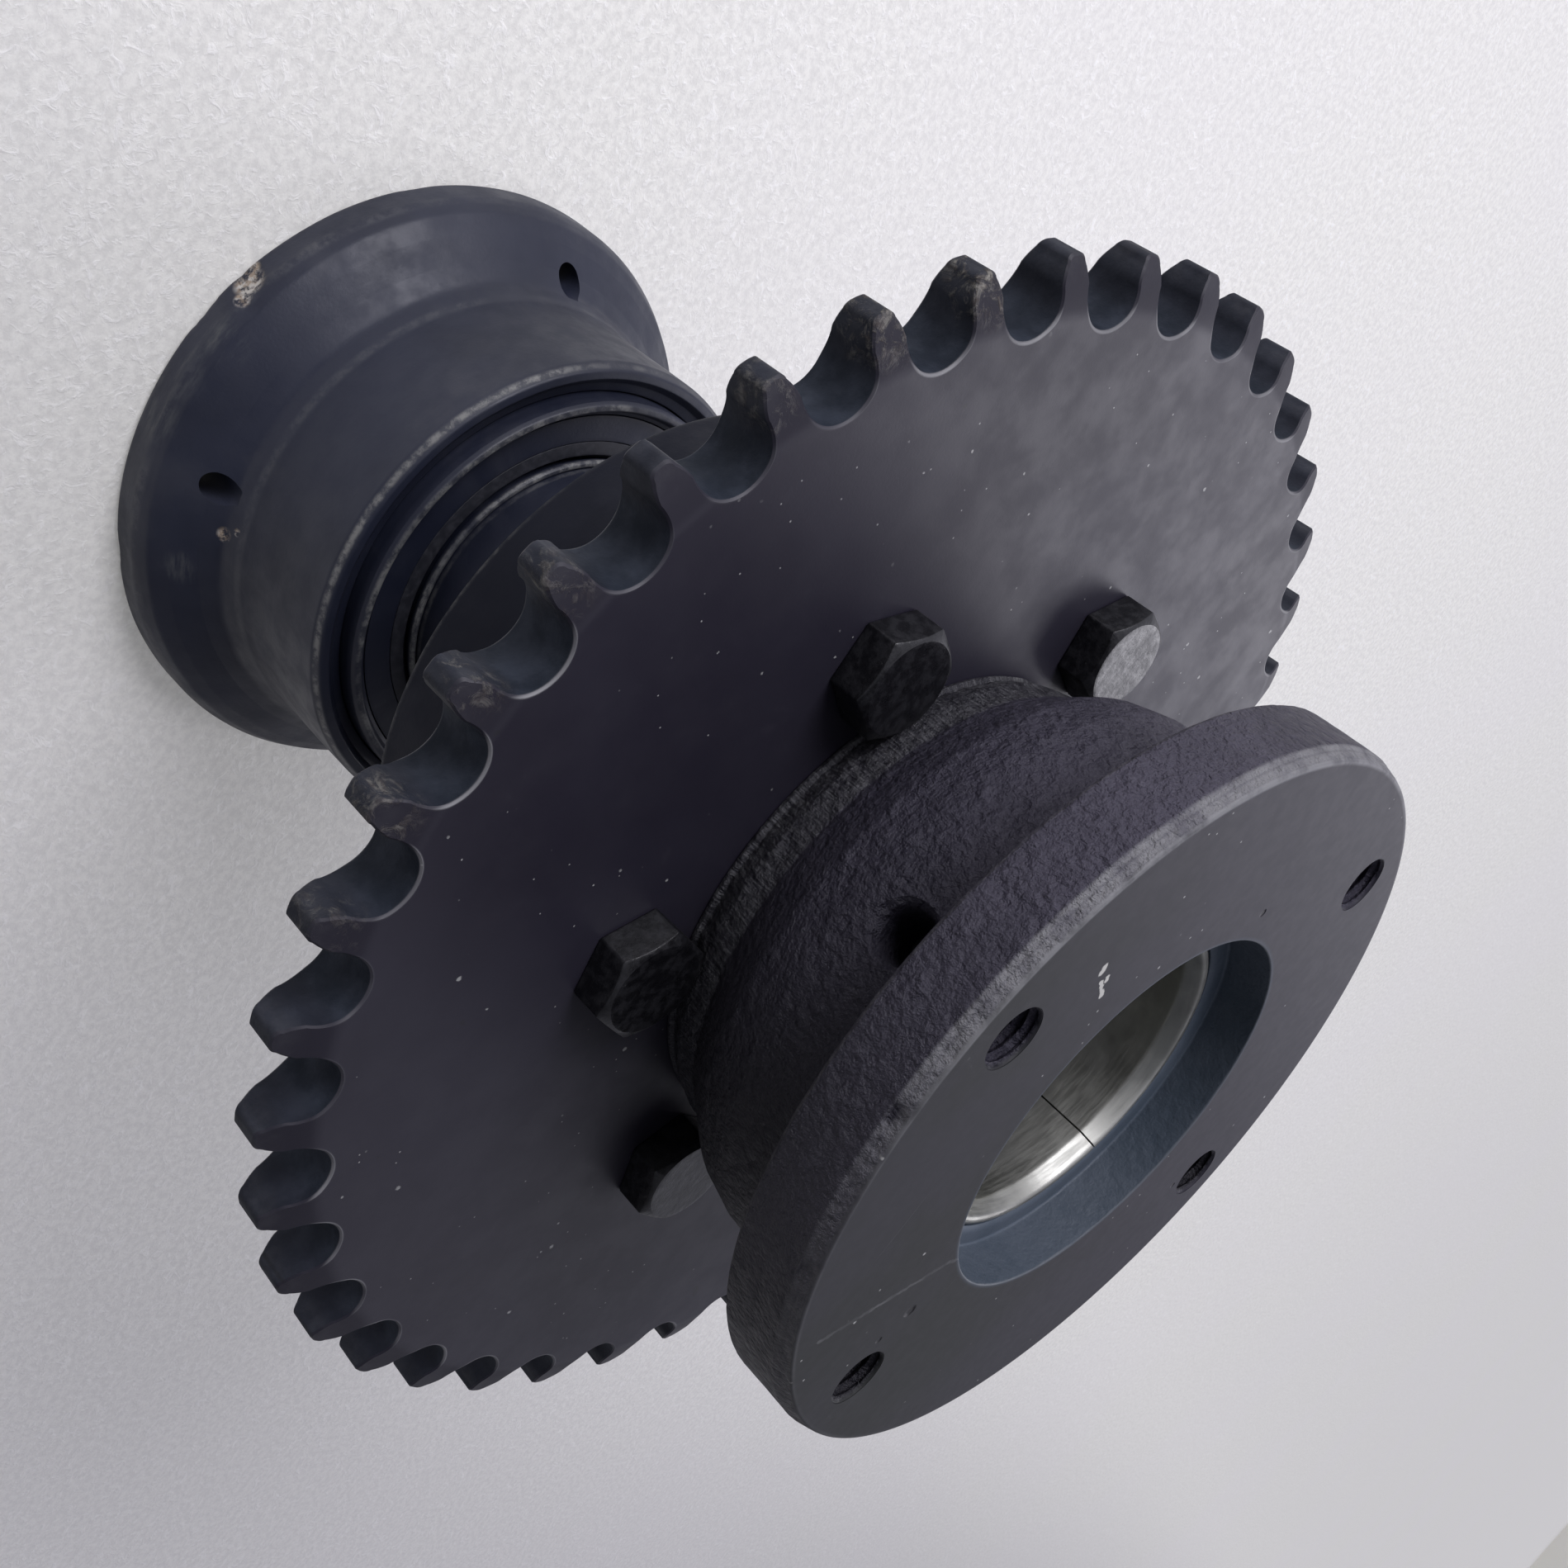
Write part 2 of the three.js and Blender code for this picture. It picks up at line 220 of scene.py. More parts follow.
# ---------------------------------------------------------------------------------------------
# node tools
# ---------------------------------------------------------------------------------------------
class G:
    def __init__(self, name):
        self.mat = bpy.data.materials.new(name)
        self.mat.use_nodes = True
        self.nt = self.mat.node_tree
        self.nt.nodes.clear()
        self.out = self.nt.nodes.new("ShaderNodeOutputMaterial")
        self.bsdf = self.nt.nodes.new("ShaderNodeBsdfPrincipled")
        self.nt.links.new(self.bsdf.outputs[0], self.out.inputs[0])
        tc = self.nt.nodes.new("ShaderNodeTexCoord")
        self.pos = tc.outputs["Object"]
        self.nrm = tc.outputs["Normal"]
        sep = self.nt.nodes.new("ShaderNodeSeparateXYZ")
        self.link(self.pos, sep.inputs[0])
        self.x, self.y, self.z = sep.outputs
        self._r = None
        self._a = None

    def link(self, a, b):
        self.nt.links.new(a, b)

    def put(self, sock, v):
        if isinstance(v, bpy.types.NodeSocket):
            self.link(v, sock)
        else:
            sock.default_value = v

    def m(self, op, a, b=None, c=None, clamp=False):
        n = self.nt.nodes.new("ShaderNodeMath")
        n.operation = op
        n.use_clamp = clamp
        self.put(n.inputs[0], a)
        if b is not None:
            self.put(n.inputs[1], b)
        if c is not None:
            self.put(n.inputs[2], c)
        return n.outputs[0]

    @property
    def r(self):
        if self._r is None:
            self._r = self.m("SQRT", self.m("ADD", self.m("MULTIPLY", self.x, self.x), self.m("MULTIPLY", self.y, self.y)))
        return self._r

    @property
    def a(self):
        if self._a is None:
            self._a = self.m("ARCTAN2", self.y, self.x)
        return self._a

    def toward(self, angle):
        """Cosine of the angle between a point's direction from the axis and this one: it has no seam."""
        dot = self.m("ADD", self.m("MULTIPLY", self.x, math.cos(angle)), self.m("MULTIPLY", self.y, math.sin(angle)))
        return self.m("DIVIDE", dot, self.m("MAXIMUM", self.r, 0.001))

    def vec(self, x, y, z=0.0):
        n = self.nt.nodes.new("ShaderNodeCombineXYZ")
        self.put(n.inputs[0], x)
        self.put(n.inputs[1], y)
        self.put(n.inputs[2], z)
        return n.outputs[0]

    def noise(self, scale, detail=4.0, rough=0.55, vec=None, distort=0.0):
        n = self.nt.nodes.new("ShaderNodeTexNoise")
        n.inputs["Scale"].default_value = scale
        n.inputs["Detail"].default_value = detail
        n.inputs["Roughness"].default_value = rough
        n.inputs["Distortion"].default_value = distort
        self.link(vec if vec is not None else self.pos, n.inputs["Vector"])
        return n.outputs["Fac"]

    def voro(self, scale, vec=None, dims="3D", feature="F1", out="Distance", rand=1.0):
        n = self.nt.nodes.new("ShaderNodeTexVoronoi")
        n.voronoi_dimensions = dims
        n.feature = feature
        n.inputs["Scale"].default_value = scale
        n.inputs["Randomness"].default_value = rand
        self.link(vec if vec is not None else self.pos, n.inputs["Vector"])
        return n.outputs[out]

    def ramp(self, v, lo, hi, a=0.0, b=1.0):
        n = self.nt.nodes.new("ShaderNodeMapRange")
        n.interpolation_type = "SMOOTHSTEP"
        self.put(n.inputs["Value"], v)
        n.inputs["From Min"].default_value = lo
        n.inputs["From Max"].default_value = hi
        n.inputs["To Min"].default_value = a
        n.inputs["To Max"].default_value = b
        return n.outputs["Result"]

    def mix(self, f, a, b):
        n = self.nt.nodes.new("ShaderNodeMix")
        n.data_type = "RGBA"
        self.put(n.inputs[0], f)
        for s, v in ((n.inputs[6], a), (n.inputs[7], b)):
            if isinstance(v, bpy.types.NodeSocket):
                self.link(v, s)
            else:
                s.default_value = (v[0], v[1], v[2], 1.0)
        return n.outputs[2]

    def near(self, r0, z0, w):
        """1 on the circle (r0, z0), fading to 0 at w, in mm."""
        dr = self.m("SUBTRACT", self.r, r0 * MM)
        dz = self.m("SUBTRACT", self.z, z0 * MM)
        d = self.m("SQRT", self.m("ADD", self.m("MULTIPLY", dr, dr), self.m("MULTIPLY", dz, dz)))
        return self.ramp(d, w * MM, w * 0.25 * MM)

    def spot(self, x, y, z, w, soft=0.4):
        """1 inside w mm of a point."""
        n = self.nt.nodes.new("ShaderNodeVectorMath")
        n.operation = "DISTANCE"
        self.link(self.pos, n.inputs[0])
        n.inputs[1].default_value = (x * MM, y * MM, z * MM)
        return self.ramp(n.outputs["Value"], w * MM, w * soft * MM)

    def stroke(self, ax, ay, bx, by, w):
        """1 along a straight stroke on a face across the axis, in mm."""
        ln = math.hypot(bx - ax, by - ay)
        tx, ty = (bx - ax) / ln, (by - ay) / ln
        dx, dy = self.m("SUBTRACT", self.x, ax * MM), self.m("SUBTRACT", self.y, ay * MM)
        t = self.m("ADD", self.m("MULTIPLY", dx, tx), self.m("MULTIPLY", dy, ty))
        t = self.m("MINIMUM", self.m("MAXIMUM", t, 0.0), ln * MM)
        ex, ey = self.m("SUBTRACT", dx, self.m("MULTIPLY", t, tx)), self.m("SUBTRACT", dy, self.m("MULTIPLY", t, ty))
        e = self.m("SQRT", self.m("ADD", self.m("MULTIPLY", ex, ex), self.m("MULTIPLY", ey, ey)))
        e = self.m("ADD", e, self.m("MULTIPLY", self.m("SUBTRACT", self.noise(700, 2, 0.6), 0.5), 0.0012))
        return self.ramp(e, w * MM, w * 0.5 * MM)

    def any(self, socks):
        s = socks[0]
        for t in socks[1:]:
            s = self.m("MAXIMUM", s, t)
        return s

    def bump(self, layers):
        """layers: [(height socket, distance in mm, strength), ...]"""
        last = None
        for h, dist, k in layers:
            n = self.nt.nodes.new("ShaderNodeBump")
            n.inputs["Strength"].default_value = k
            n.inputs["Distance"].default_value = dist * MM
            self.link(h, n.inputs["Height"])
            if last is not None:
                self.link(last, n.inputs["Normal"])
            last = n.outputs[0]
        self.link(last, self.bsdf.inputs["Normal"])
        return last

    def done(self, color, rough, metal=0.0, spec=0.5, coat=0.0, coat_rough=0.2):
        b = self.bsdf
        self.put(b.inputs["Roughness"], rough)
        self.put(b.inputs["Metallic"], metal)
        self.put(b.inputs["Specular IOR Level"], spec)
        self.put(b.inputs["Coat Weight"], coat)
        b.inputs["Coat Roughness"].default_value = coat_rough
        if isinstance(color, bpy.types.NodeSocket):
            self.link(color, b.inputs["Base Color"])
        else:
            b.inputs["Base Color"].default_value = (*color, 1)
        return self.mat


def flat_dust(g, cell_mm, size_mm, amount_noise, seed):
    """Small pale specks of uneven shape on faces across the axis."""
    v = g.vec(g.m("ADD", g.x, seed), g.m("SUBTRACT", g.y, seed * 0.7))
    ragged = g.m("MULTIPLY", g.m("SUBTRACT", g.noise(1500, 2, 0.6), 0.5), 1.6 * size_mm / cell_mm)
    d = g.m("ADD", g.voro(1000.0 / cell_mm, v, "2D"), ragged)
    s = g.ramp(d, size_mm / cell_mm, size_mm / cell_mm * 0.35)
    keep = g.ramp(g.noise(38.0, 1.0, 0.5, g.vec(g.m("ADD", g.x, seed * 3), g.y)), amount_noise, amount_noise + 0.06)
    return g.m("MULTIPLY", s, keep)


def scratches(g, deg, seed, scale=9.0, stretch=42.0, lo=0.735, hi=0.80):
    """Long thin marks on faces across the axis, running at deg."""
    n = g.nt.nodes.new("ShaderNodeMapping")
    n.inputs["Location"].default_value = (seed, seed * 1.7, 0)
    n.inputs["Rotation"].default_value = (0, 0, math.radians(-deg))
    n.inputs["Scale"].default_value = (1.0, stretch, 1.0)
    g.link(g.pos, n.inputs["Vector"])
    return g.ramp(g.noise(scale, 2.0, 0.6, n.outputs[0], 0.15), lo, hi)


BLUE = (0.030, 0.033, 0.046)
COOL = (0.038, 0.038, 0.047)
DARK = (0.017, 0.017, 0.022)
WORN = (0.23, 0.23, 0.22)


# ---------------------------------------------------------------------------------------------
# materials
# ---------------------------------------------------------------------------------------------
GAP0 = math.radians(101.606)
PITCH_R = 121.4
SEAT_R = 6.5
# faint long marks on the front face: from x, y to x, y in mm, and how pale they are
SCRATCH = ((-49, 47, -33, 23, 0.40), (-33, 23, -17, -27, 0.26))
# chalk strokes on the front face: from x, y to x, y and half width
CHALK = ((23.4, 50.9, 22.4, 50.5, 0.7), (20.9, 48.2, 19.0, 44.6, 0.55), (22.0, 47.4, 21.6, 47.1, 0.6))


def hub_material():
    g = G("hub_black")
    fine = g.noise(1500, 4, 0.6)
    mid = g.noise(430, 5, 0.62)
    big = g.noise(28, 3, 0.5)
    face = g.m("MULTIPLY", g.ramp(g.z, 0.2300, 0.2309), g.ramp(g.r, 0.0362, 0.0374))
    neck = g.m("MULTIPLY", g.ramp(g.z, 0.1800, 0.1788), g.ramp(g.r, 0.047, 0.048))
    bore = g.ramp(g.r, 0.0388, 0.0374)
    shade = g.mix(g.ramp(big, 0.35, 0.65), (0.014, 0.0125, 0.021), (0.025, 0.0225, 0.034))
    # partly painted highlight: the pale mottle follows the noise (mid) that raises the cast bumps, so it paints light
    # on their peaks; the rest is random tone
    shade = g.mix(g.m("MULTIPLY", g.ramp(mid, 0.52, 0.72), 0.40), shade, (0.054, 0.051, 0.066))
    # front face: smoother and a little paler, with stains and scratches
    stain = g.noise(17, 5, 0.6, distort=0.6)
    across = g.m("SUBTRACT", g.m("MULTIPLY", g.x, 0.77), g.m("MULTIPLY", g.y, 0.63))
    left = g.ramp(g.m("ADD", across, g.m("MULTIPLY", g.m("SUBTRACT", stain, 0.5), 0.06)), -0.055, 0.03)
    fcol = g.mix(left, (0.020, 0.021, 0.020), (0.020, 0.0185, 0.027))
    fcol = g.mix(g.m("MULTIPLY", g.ramp(stain, 0.40, 0.66), 0.45), fcol, (0.033, 0.031, 0.041))
    scr = g.any([scratches(g, 62, 3.1), scratches(g, 64, 8.6, 13, 60, 0.74, 0.8), scratches(g, -18, 5.2, 12, 46, 0.76, 0.82)])
    fcol = g.mix(g.m("MULTIPLY", scr, 0.26), fcol, (0.20, 0.20, 0.21))
    pale = g.ramp(g.noise(60, 6, 0.72, distort=1.2), 0.63, 0.78)
    fcol = g.mix(g.m("MULTIPLY", pale, 0.13), fcol, (0.20, 0.20, 0.21))
    # painted light and shade: the barrel is darker on the side away from the side lamp (toward 0.5 rad) and paler on
    # the side facing it, with noise, and paler again on the rim above z 208 mm
    painted_light_and_shade = g.ramp(g.m("ADD", g.toward(0.5), g.m("MULTIPLY", g.m("SUBTRACT", g.noise(9, 3, 0.5), 0.5), 0.6)), -0.30, 0.90, 0.35, 1.65)
    painted_light_and_shade = g.m("MULTIPLY", painted_light_and_shade, g.ramp(g.z, 0.208, 0.220, 1.0, 1.12))
    scaled = g.nt.nodes.new("ShaderNodeVectorMath")
    scaled.operation = "SCALE"
    g.link(shade, scaled.inputs[0])
    g.link(painted_light_and_shade, scaled.inputs["Scale"])
    shade = scaled.outputs[0]
    col = g.mix(face, shade, fcol)
    # neck: pale strands on dark, brightest on the side facing the side lamp (toward 0.5 rad): the fibrous surface,
    # partly painted highlights
    strand = g.vec(g.m("MULTIPLY", g.toward(0.0), 0.060), g.m("MULTIPLY", g.toward(math.pi / 2), 0.060), g.m("ADD", g.m("MULTIPLY", g.z, 0.16), g.m("MULTIPLY", g.r, 0.12)))
    ncol = g.mix(g.m("MULTIPLY", g.ramp(g.noise(1500, 4, 0.7, strand, 0.4), 0.40, 0.76), g.ramp(g.toward(0.5), -0.42, 0.17, 0.25, 1.0)), (0.020, 0.019, 0.025), (0.12, 0.12, 0.125))
    col = g.mix(neck, col, ncol)
    col = g.mix(bore, col, g.mix(g.ramp(g.noise(60, 4, 0.6), 0.35, 0.65), (0.060, 0.080, 0.104), (0.082, 0.102, 0.128)))
    # worn edges, strongest on the side facing the side lamp (toward 0.5 rad): wear, partly a painted highlight
    rag = g.ramp(g.noise(170, 5, 0.65), 0.28, 0.60, 0.35, 1.0)
    edge = g.any([g.near(74.3, 228.6, 1.1), g.near(73.7, 229.8, 1.4), g.near(73.2, 230.8, 1.0)])
    edge2 = g.any([g.near(37.75, 231.0, 0.5), g.near(74.3, 215.8, 0.8)])
    part = g.m("MULTIPLY", g.ramp(g.noise(20, 2, 0.5), 0.30, 0.55, 0.45, 1.0), g.ramp(g.toward(0.5), 0.10, 0.80, 0.20, 1.0))
    edge_wear_and_highlight = g.m("MULTIPLY", g.m("MULTIPLY", edge, rag), part)
    col = g.mix(g.m("MULTIPLY", edge_wear_and_highlight, 0.85), col, (0.23, 0.23, 0.235))
    col = g.mix(g.m("MULTIPLY", g.m("MULTIPLY", edge2, rag), 0.25), col, WORN)
    lip = g.m("MULTIPLY", g.near(50.3, 169.9, 0.8), g.ramp(g.noise(45, 4, 0.6), 0.46, 0.62))
    col = g.mix(g.m("MULTIPLY", lip, 0.6), col, (0.26, 0.26, 0.25))
    # two long faint scratches over the face
    for ax, ay, bx, by, k in SCRATCH:
        line = g.m("MULTIPLY", g.stroke(ax, ay, bx, by, 0.6), g.m("MULTIPLY", face, g.ramp(g.noise(110, 3, 0.6), 0.35, 0.6, 0.25, 1.0)))
        col = g.mix(g.m("MULTIPLY", line, k), col, (0.22, 0.22, 0.22))
    # specks and pits
    dust = g.m("MULTIPLY", g.any([flat_dust(g, 9, 0.26, 0.55, 0.11), flat_dust(g, 15, 0.40, 0.57, 0.41)]), face)
    col = g.mix(g.m("MULTIPLY", dust, 0.8), col, (0.42, 0.42, 0.40))
    pits = g.any([g.spot(-43.3, 22.9, 231, 1.5), g.spot(-49.5, 26.0, 231, 0.8), g.spot(42.5, 9.3, 231, 0.9), g.spot(-12, -54, 231, 0.7)])
    col = g.mix(g.m("MULTIPLY", pits, 0.8), col, (0.012, 0.011, 0.012))
    chalk = g.m("MULTIPLY", g.any([g.stroke(*c) for c in CHALK]), face)
    col = g.mix(g.m("MULTIPLY", chalk, 0.85), col, (0.62, 0.61, 0.56))
    even = g.m("ADD", g.m("MULTIPLY", g.m("SUBTRACT", g.ramp(mid, 0.3, 0.7, 0.46, 0.62), 0.54), g.ramp(face, 0.0, 1.0, 1.0, 0.25)), 0.54)
    rough = g.m("ADD", even, g.m("MULTIPLY", neck, -0.12))
    rough = g.m("ADD", rough, g.m("MULTIPLY", scr, 0.1))
    rest = g.m("SUBTRACT", 1.0, g.m("MAXIMUM", face, bore))
    cast = g.m("MULTIPLY", g.m("SUBTRACT", mid, 0.5), rest)
    g.bump([
        (g.m("MULTIPLY", g.m("SUBTRACT", g.noise(210, 4, 0.6), 0.5), rest), 1.6, 0.6),
        (cast, 2.0, 1.0),
        (g.m("MULTIPLY", g.m("SUBTRACT", g.noise(900, 3, 0.6), 0.5), rest), 0.5, 0.6),
        (g.m("MULTIPLY", g.m("SUBTRACT", g.noise(1500, 4, 0.7, strand, 0.4), 0.5), neck), 0.7, 0.7),
        (g.m("MULTIPLY", fine, g.ramp(face, 0.0, 1.0, 1.0, 0.15)), 0.10, 0.35),
        (g.m("MULTIPLY", scr, -1.0), 0.08, 0.5),
        (g.m("MULTIPLY", pits, -1.0), 0.6, 0.8),
    ])
    return g.done(col, rough, 0.0, g.ramp(face, 0.0, 1.0, 0.42, 0.22))


def sprocket_material():
    g = G("sprocket_black")
    big = g.noise(14, 3, 0.5)
    mid = g.noise(90, 5, 0.65)
    fine = g.noise(1900, 3, 0.6)
    col = g.mix(g.ramp(big, 0.35, 0.65), (0.0165, 0.0145, 0.0235), (0.0225, 0.0205, 0.032))
    col = g.mix(g.m("MULTIPLY", g.ramp(mid, 0.60, 0.74), 0.18), col, (0.048, 0.045, 0.056))
    # fold the angle so that one tooth gap describes all of them
    step = 2 * math.pi / 40
    t = g.m("SUBTRACT", g.m("FLOORED_MODULO", g.m("ADD", g.a, step / 2 - GAP0 + 2 * math.pi), step), step / 2)
    px = g.m("SUBTRACT", g.m("MULTIPLY", g.r, g.m("COSINE", t)), PITCH_R * MM)
    py = g.m("MULTIPLY", g.r, g.m("SINE", t))
    d = g.m("SUBTRACT", g.m("SQRT", g.m("ADD", g.m("MULTIPLY", px, px), g.m("MULTIPLY", py, py))), SEAT_R * MM)
    nz = g.nt.nodes.new("ShaderNodeSeparateXYZ")
    g.link(g.nrm, nz.inputs[0])
    wall = g.m("MULTIPLY", g.ramp(g.m("ABSOLUTE", nz.outputs[2]), 0.75, 0.35), g.ramp(g.r, 0.1120, 0.1130))
    walls = g.mix(g.ramp(g.noise(160, 4, 0.6), 0.35, 0.7), (0.012, 0.016, 0.024), (0.028, 0.034, 0.047))
    col = g.mix(wall, col, walls)
    # partly painted highlight: a pale line on the front edge of each tooth seat, partly a burr
    rim = g.m("MULTIPLY", g.ramp(g.m("ABSOLUTE", g.m("SUBTRACT", d, 0.0002)), 0.00042, 0.00012), g.ramp(g.m("ABSOLUTE", g.m("SUBTRACT", g.z, 0.163)), 0.0054, 0.0059))
    rim = g.m("MULTIPLY", rim, g.ramp(g.noise(34, 3, 0.6), 0.40, 0.58, 0.15, 1.0))
    col = g.mix(g.m("MULTIPLY", rim, 0.6), col, (0.30, 0.30, 0.30))
    tip = g.m("MULTIPLY", g.ramp(g.r, 0.1208, 0.1255), g.ramp(g.noise(260, 4, 0.65), 0.36, 0.66, 0.2, 1.0))
    col = g.mix(g.ramp(g.r, 0.1165, 0.1200, 0.0, 0.4), col, (0.014, 0.013, 0.019))
    col = g.mix(g.m("MULTIPLY", tip, 0.16), col, (0.10, 0.10, 0.105))
    # dirt and rust on the teeth that stand free at the back
    rust = []
    for deg, k in ((51.9, 0.7), (42.6, 0.9), (79.5, 0.35), (86.8, 0.35), (97.5, 0.4), (61.5, 0.3), (105.8, 0.25)):
        a = math.radians(deg)
        rust.append(g.m("MULTIPLY", g.spot(124.5 * math.cos(a), 124.5 * math.sin(a), 165, 8.0, 0.35), k))
    rust = g.m("MULTIPLY", g.any(rust), g.ramp(g.noise(330, 6, 0.75, distort=0.6), 0.47, 0.66))
    rcol = g.mix(g.ramp(g.noise(700, 3, 0.6), 0.4, 0.6), (0.12, 0.10, 0.08), (0.36, 0.34, 0.29))
    col = g.mix(g.m("MULTIPLY", rust, 0.8), col, rcol)
    face = g.m("MULTIPLY", g.ramp(g.z, 0.1686, 0.1689), g.ramp(g.r, 0.117, 0.116))
    dust = g.any([flat_dust(g, 8, 0.20, 0.53, 0.23), flat_dust(g, 14, 0.34, 0.56, 0.77), flat_dust(g, 26, 0.55, 0.52, 0.9)])
    col = g.mix(g.m("MULTIPLY", g.m("MULTIPLY", dust, 0.8), face), col, (0.40, 0.40, 0.38))
    dark = g.ramp(g.noise(150, 2, 0.5, g.vec(g.x, g.y, 0.3)), 0.73, 0.76)
    col = g.mix(g.m("MULTIPLY", dark, 0.5), col, (0.012, 0.012, 0.012))
    scr = g.any([scratches(g, 35, 1.3, 10, 50, 0.77, 0.83), scratches(g, 100, 6.1, 12, 60, 0.78, 0.84)])
    col = g.mix(g.m("MULTIPLY", g.m("MULTIPLY", scr, face), 0.25), col, (0.2, 0.2, 0.2))
    rough = g.ramp(mid, 0.3, 0.7, 0.44, 0.54)
    rough = g.m("ADD", rough, g.m("MULTIPLY", wall, 0.14))
    g.bump([
        (g.m("MULTIPLY", g.noise(330, 4, 0.6), wall), 0.5, 0.45),
        (g.m("MULTIPLY", rust, 1.0), 0.35, 0.7),
        (mid, 0.10, 0.2),
        (fine, 0.05, 0.25),
    ])
    return g.done(col, rough, 0.0, g.m("SUBTRACT", 0.43, g.m("MULTIPLY", g.m("MAXIMUM", wall, g.ramp(g.r, 0.1175, 0.1190, 0.0, 0.5)), 0.31)))


def bolt_material():
    g = G("bolt_black")
    n = g.noise(500, 4, 0.6)
    col = g.mix(g.ramp(n, 0.4, 0.65), (0.005, 0.005, 0.006), (0.014, 0.014, 0.016))
    spots = g.ramp(g.noise(700, 4, 0.7), 0.68, 0.78)
    col = g.mix(g.m("MULTIPLY", spots, 0.30), col, (0.16, 0.16, 0.155))
    g.bump([(n, 0.30, 0.45), (g.noise(1500, 3, 0.6), 0.08, 0.4)])
    return g.done(col, g.ramp(n, 0.3, 0.7, 0.27, 0.44), 0.0, 0.42, 0.10, 0.16)


def housing_material(name="housing_black", lips=(), chips=True, k=1.0, spec=0.42):
    g = G(name)
    big = g.noise(20, 4, 0.55)
    mid = g.noise(150, 5, 0.6)
    col = g.mix(g.ramp(big, 0.35, 0.65), (0.011 * k, 0.0135 * k, 0.026 * k), (0.020 * k, 0.0235 * k, 0.041 * k))
    smear = g.noise(11, 5, 0.6, g.vec(g.m("MULTIPLY", g.toward(0.0), 0.25), g.m("MULTIPLY", g.toward(math.pi / 2), 0.25), g.m("MULTIPLY", g.z, 5.0)))
    col = g.mix(g.m("MULTIPLY", g.ramp(smear, 0.52, 0.72), 0.4 * k), col, (0.046, 0.048, 0.060))
    # faint turned rings
    ring = g.noise(900, 2, 0.5, g.vec(g.m("MULTIPLY", g.a, 0.002), g.z, g.r))
    rag = g.m("MULTIPLY", g.ramp(g.noise(300, 5, 0.72), 0.40, 0.62, 0.15, 1.0), g.ramp(g.noise(28, 3, 0.6), 0.38, 0.56, 0.25, 1.0))
    # pale lines along edges: edge wear, and on some parts painted highlights (marked at the calls)
    masks = [g.m("MULTIPLY", g.near(r, z, w), k) for r, z, w, k in lips]
    if masks:
        col = g.mix(g.m("MULTIPLY", g.any(masks), rag), col, (0.25, 0.25, 0.235))
    speck = g.ramp(g.noise(420, 5, 0.78), 0.70, 0.80)
    col = g.mix(g.m("MULTIPLY", speck, 0.35), col, (0.20, 0.20, 0.20))
    layers = [(mid, 0.25, 0.3), (ring, 0.05, 0.3), (g.noise(1300, 3, 0.6), 0.08, 0.35)]
    rough = g.ramp(mid, 0.3, 0.7, 0.42, 0.58)
    if chips:
        bare = []
        for deg, z, r, w in ((74.1, 4.0, 72.4, 4.2), (76.8, 6.4, 72.2, 2.4), (72.0, 1.6, 72.5, 2.2), (116.5, 21.0, 58.8, 2.0), (114.5, 24.0, 57.6, 1.2)):
            a = math.radians(deg)
            bare.append(g.spot(r * math.cos(a), r * math.sin(a), z, w, 0.5))
        bare = g.m("MULTIPLY", g.any(bare), g.ramp(g.noise(480, 4, 0.7), 0.38, 0.55))
        col = g.mix(g.m("MULTIPLY", bare, 0.9), col, g.mix(g.ramp(g.noise(600, 3, 0.6), 0.4, 0.6), (0.34, 0.27, 0.20), (0.55, 0.52, 0.47)))
        layers.append((g.m("MULTIPLY", bare, -1.0), 0.5, 0.6))
    if chips:
        worn = []
        for deg, z, r, w in ((92.0, 3.5, 72.4, 10.0), (101.0, 5.0, 72.2, 8.0), (84.0, 9.5, 71.0, 7.0), (126.0, 15.0, 65.0, 5.0)):
            a = math.radians(deg)
            worn.append(g.spot(r * math.cos(a), r * math.sin(a), z, w, 0.3))
        streak = g.noise(260, 5, 0.7, g.vec(g.m("MULTIPLY", g.a, 0.012), g.m("MULTIPLY", g.z, 0.8), g.r))
        worn = g.m("MULTIPLY", g.any(worn), g.ramp(streak, 0.44, 0.70))
        col = g.mix(g.m("MULTIPLY", worn, 0.55), col, (0.13, 0.135, 0.13))
    g.bump(layers)
    return g.done(col, rough, 0.0, spec)


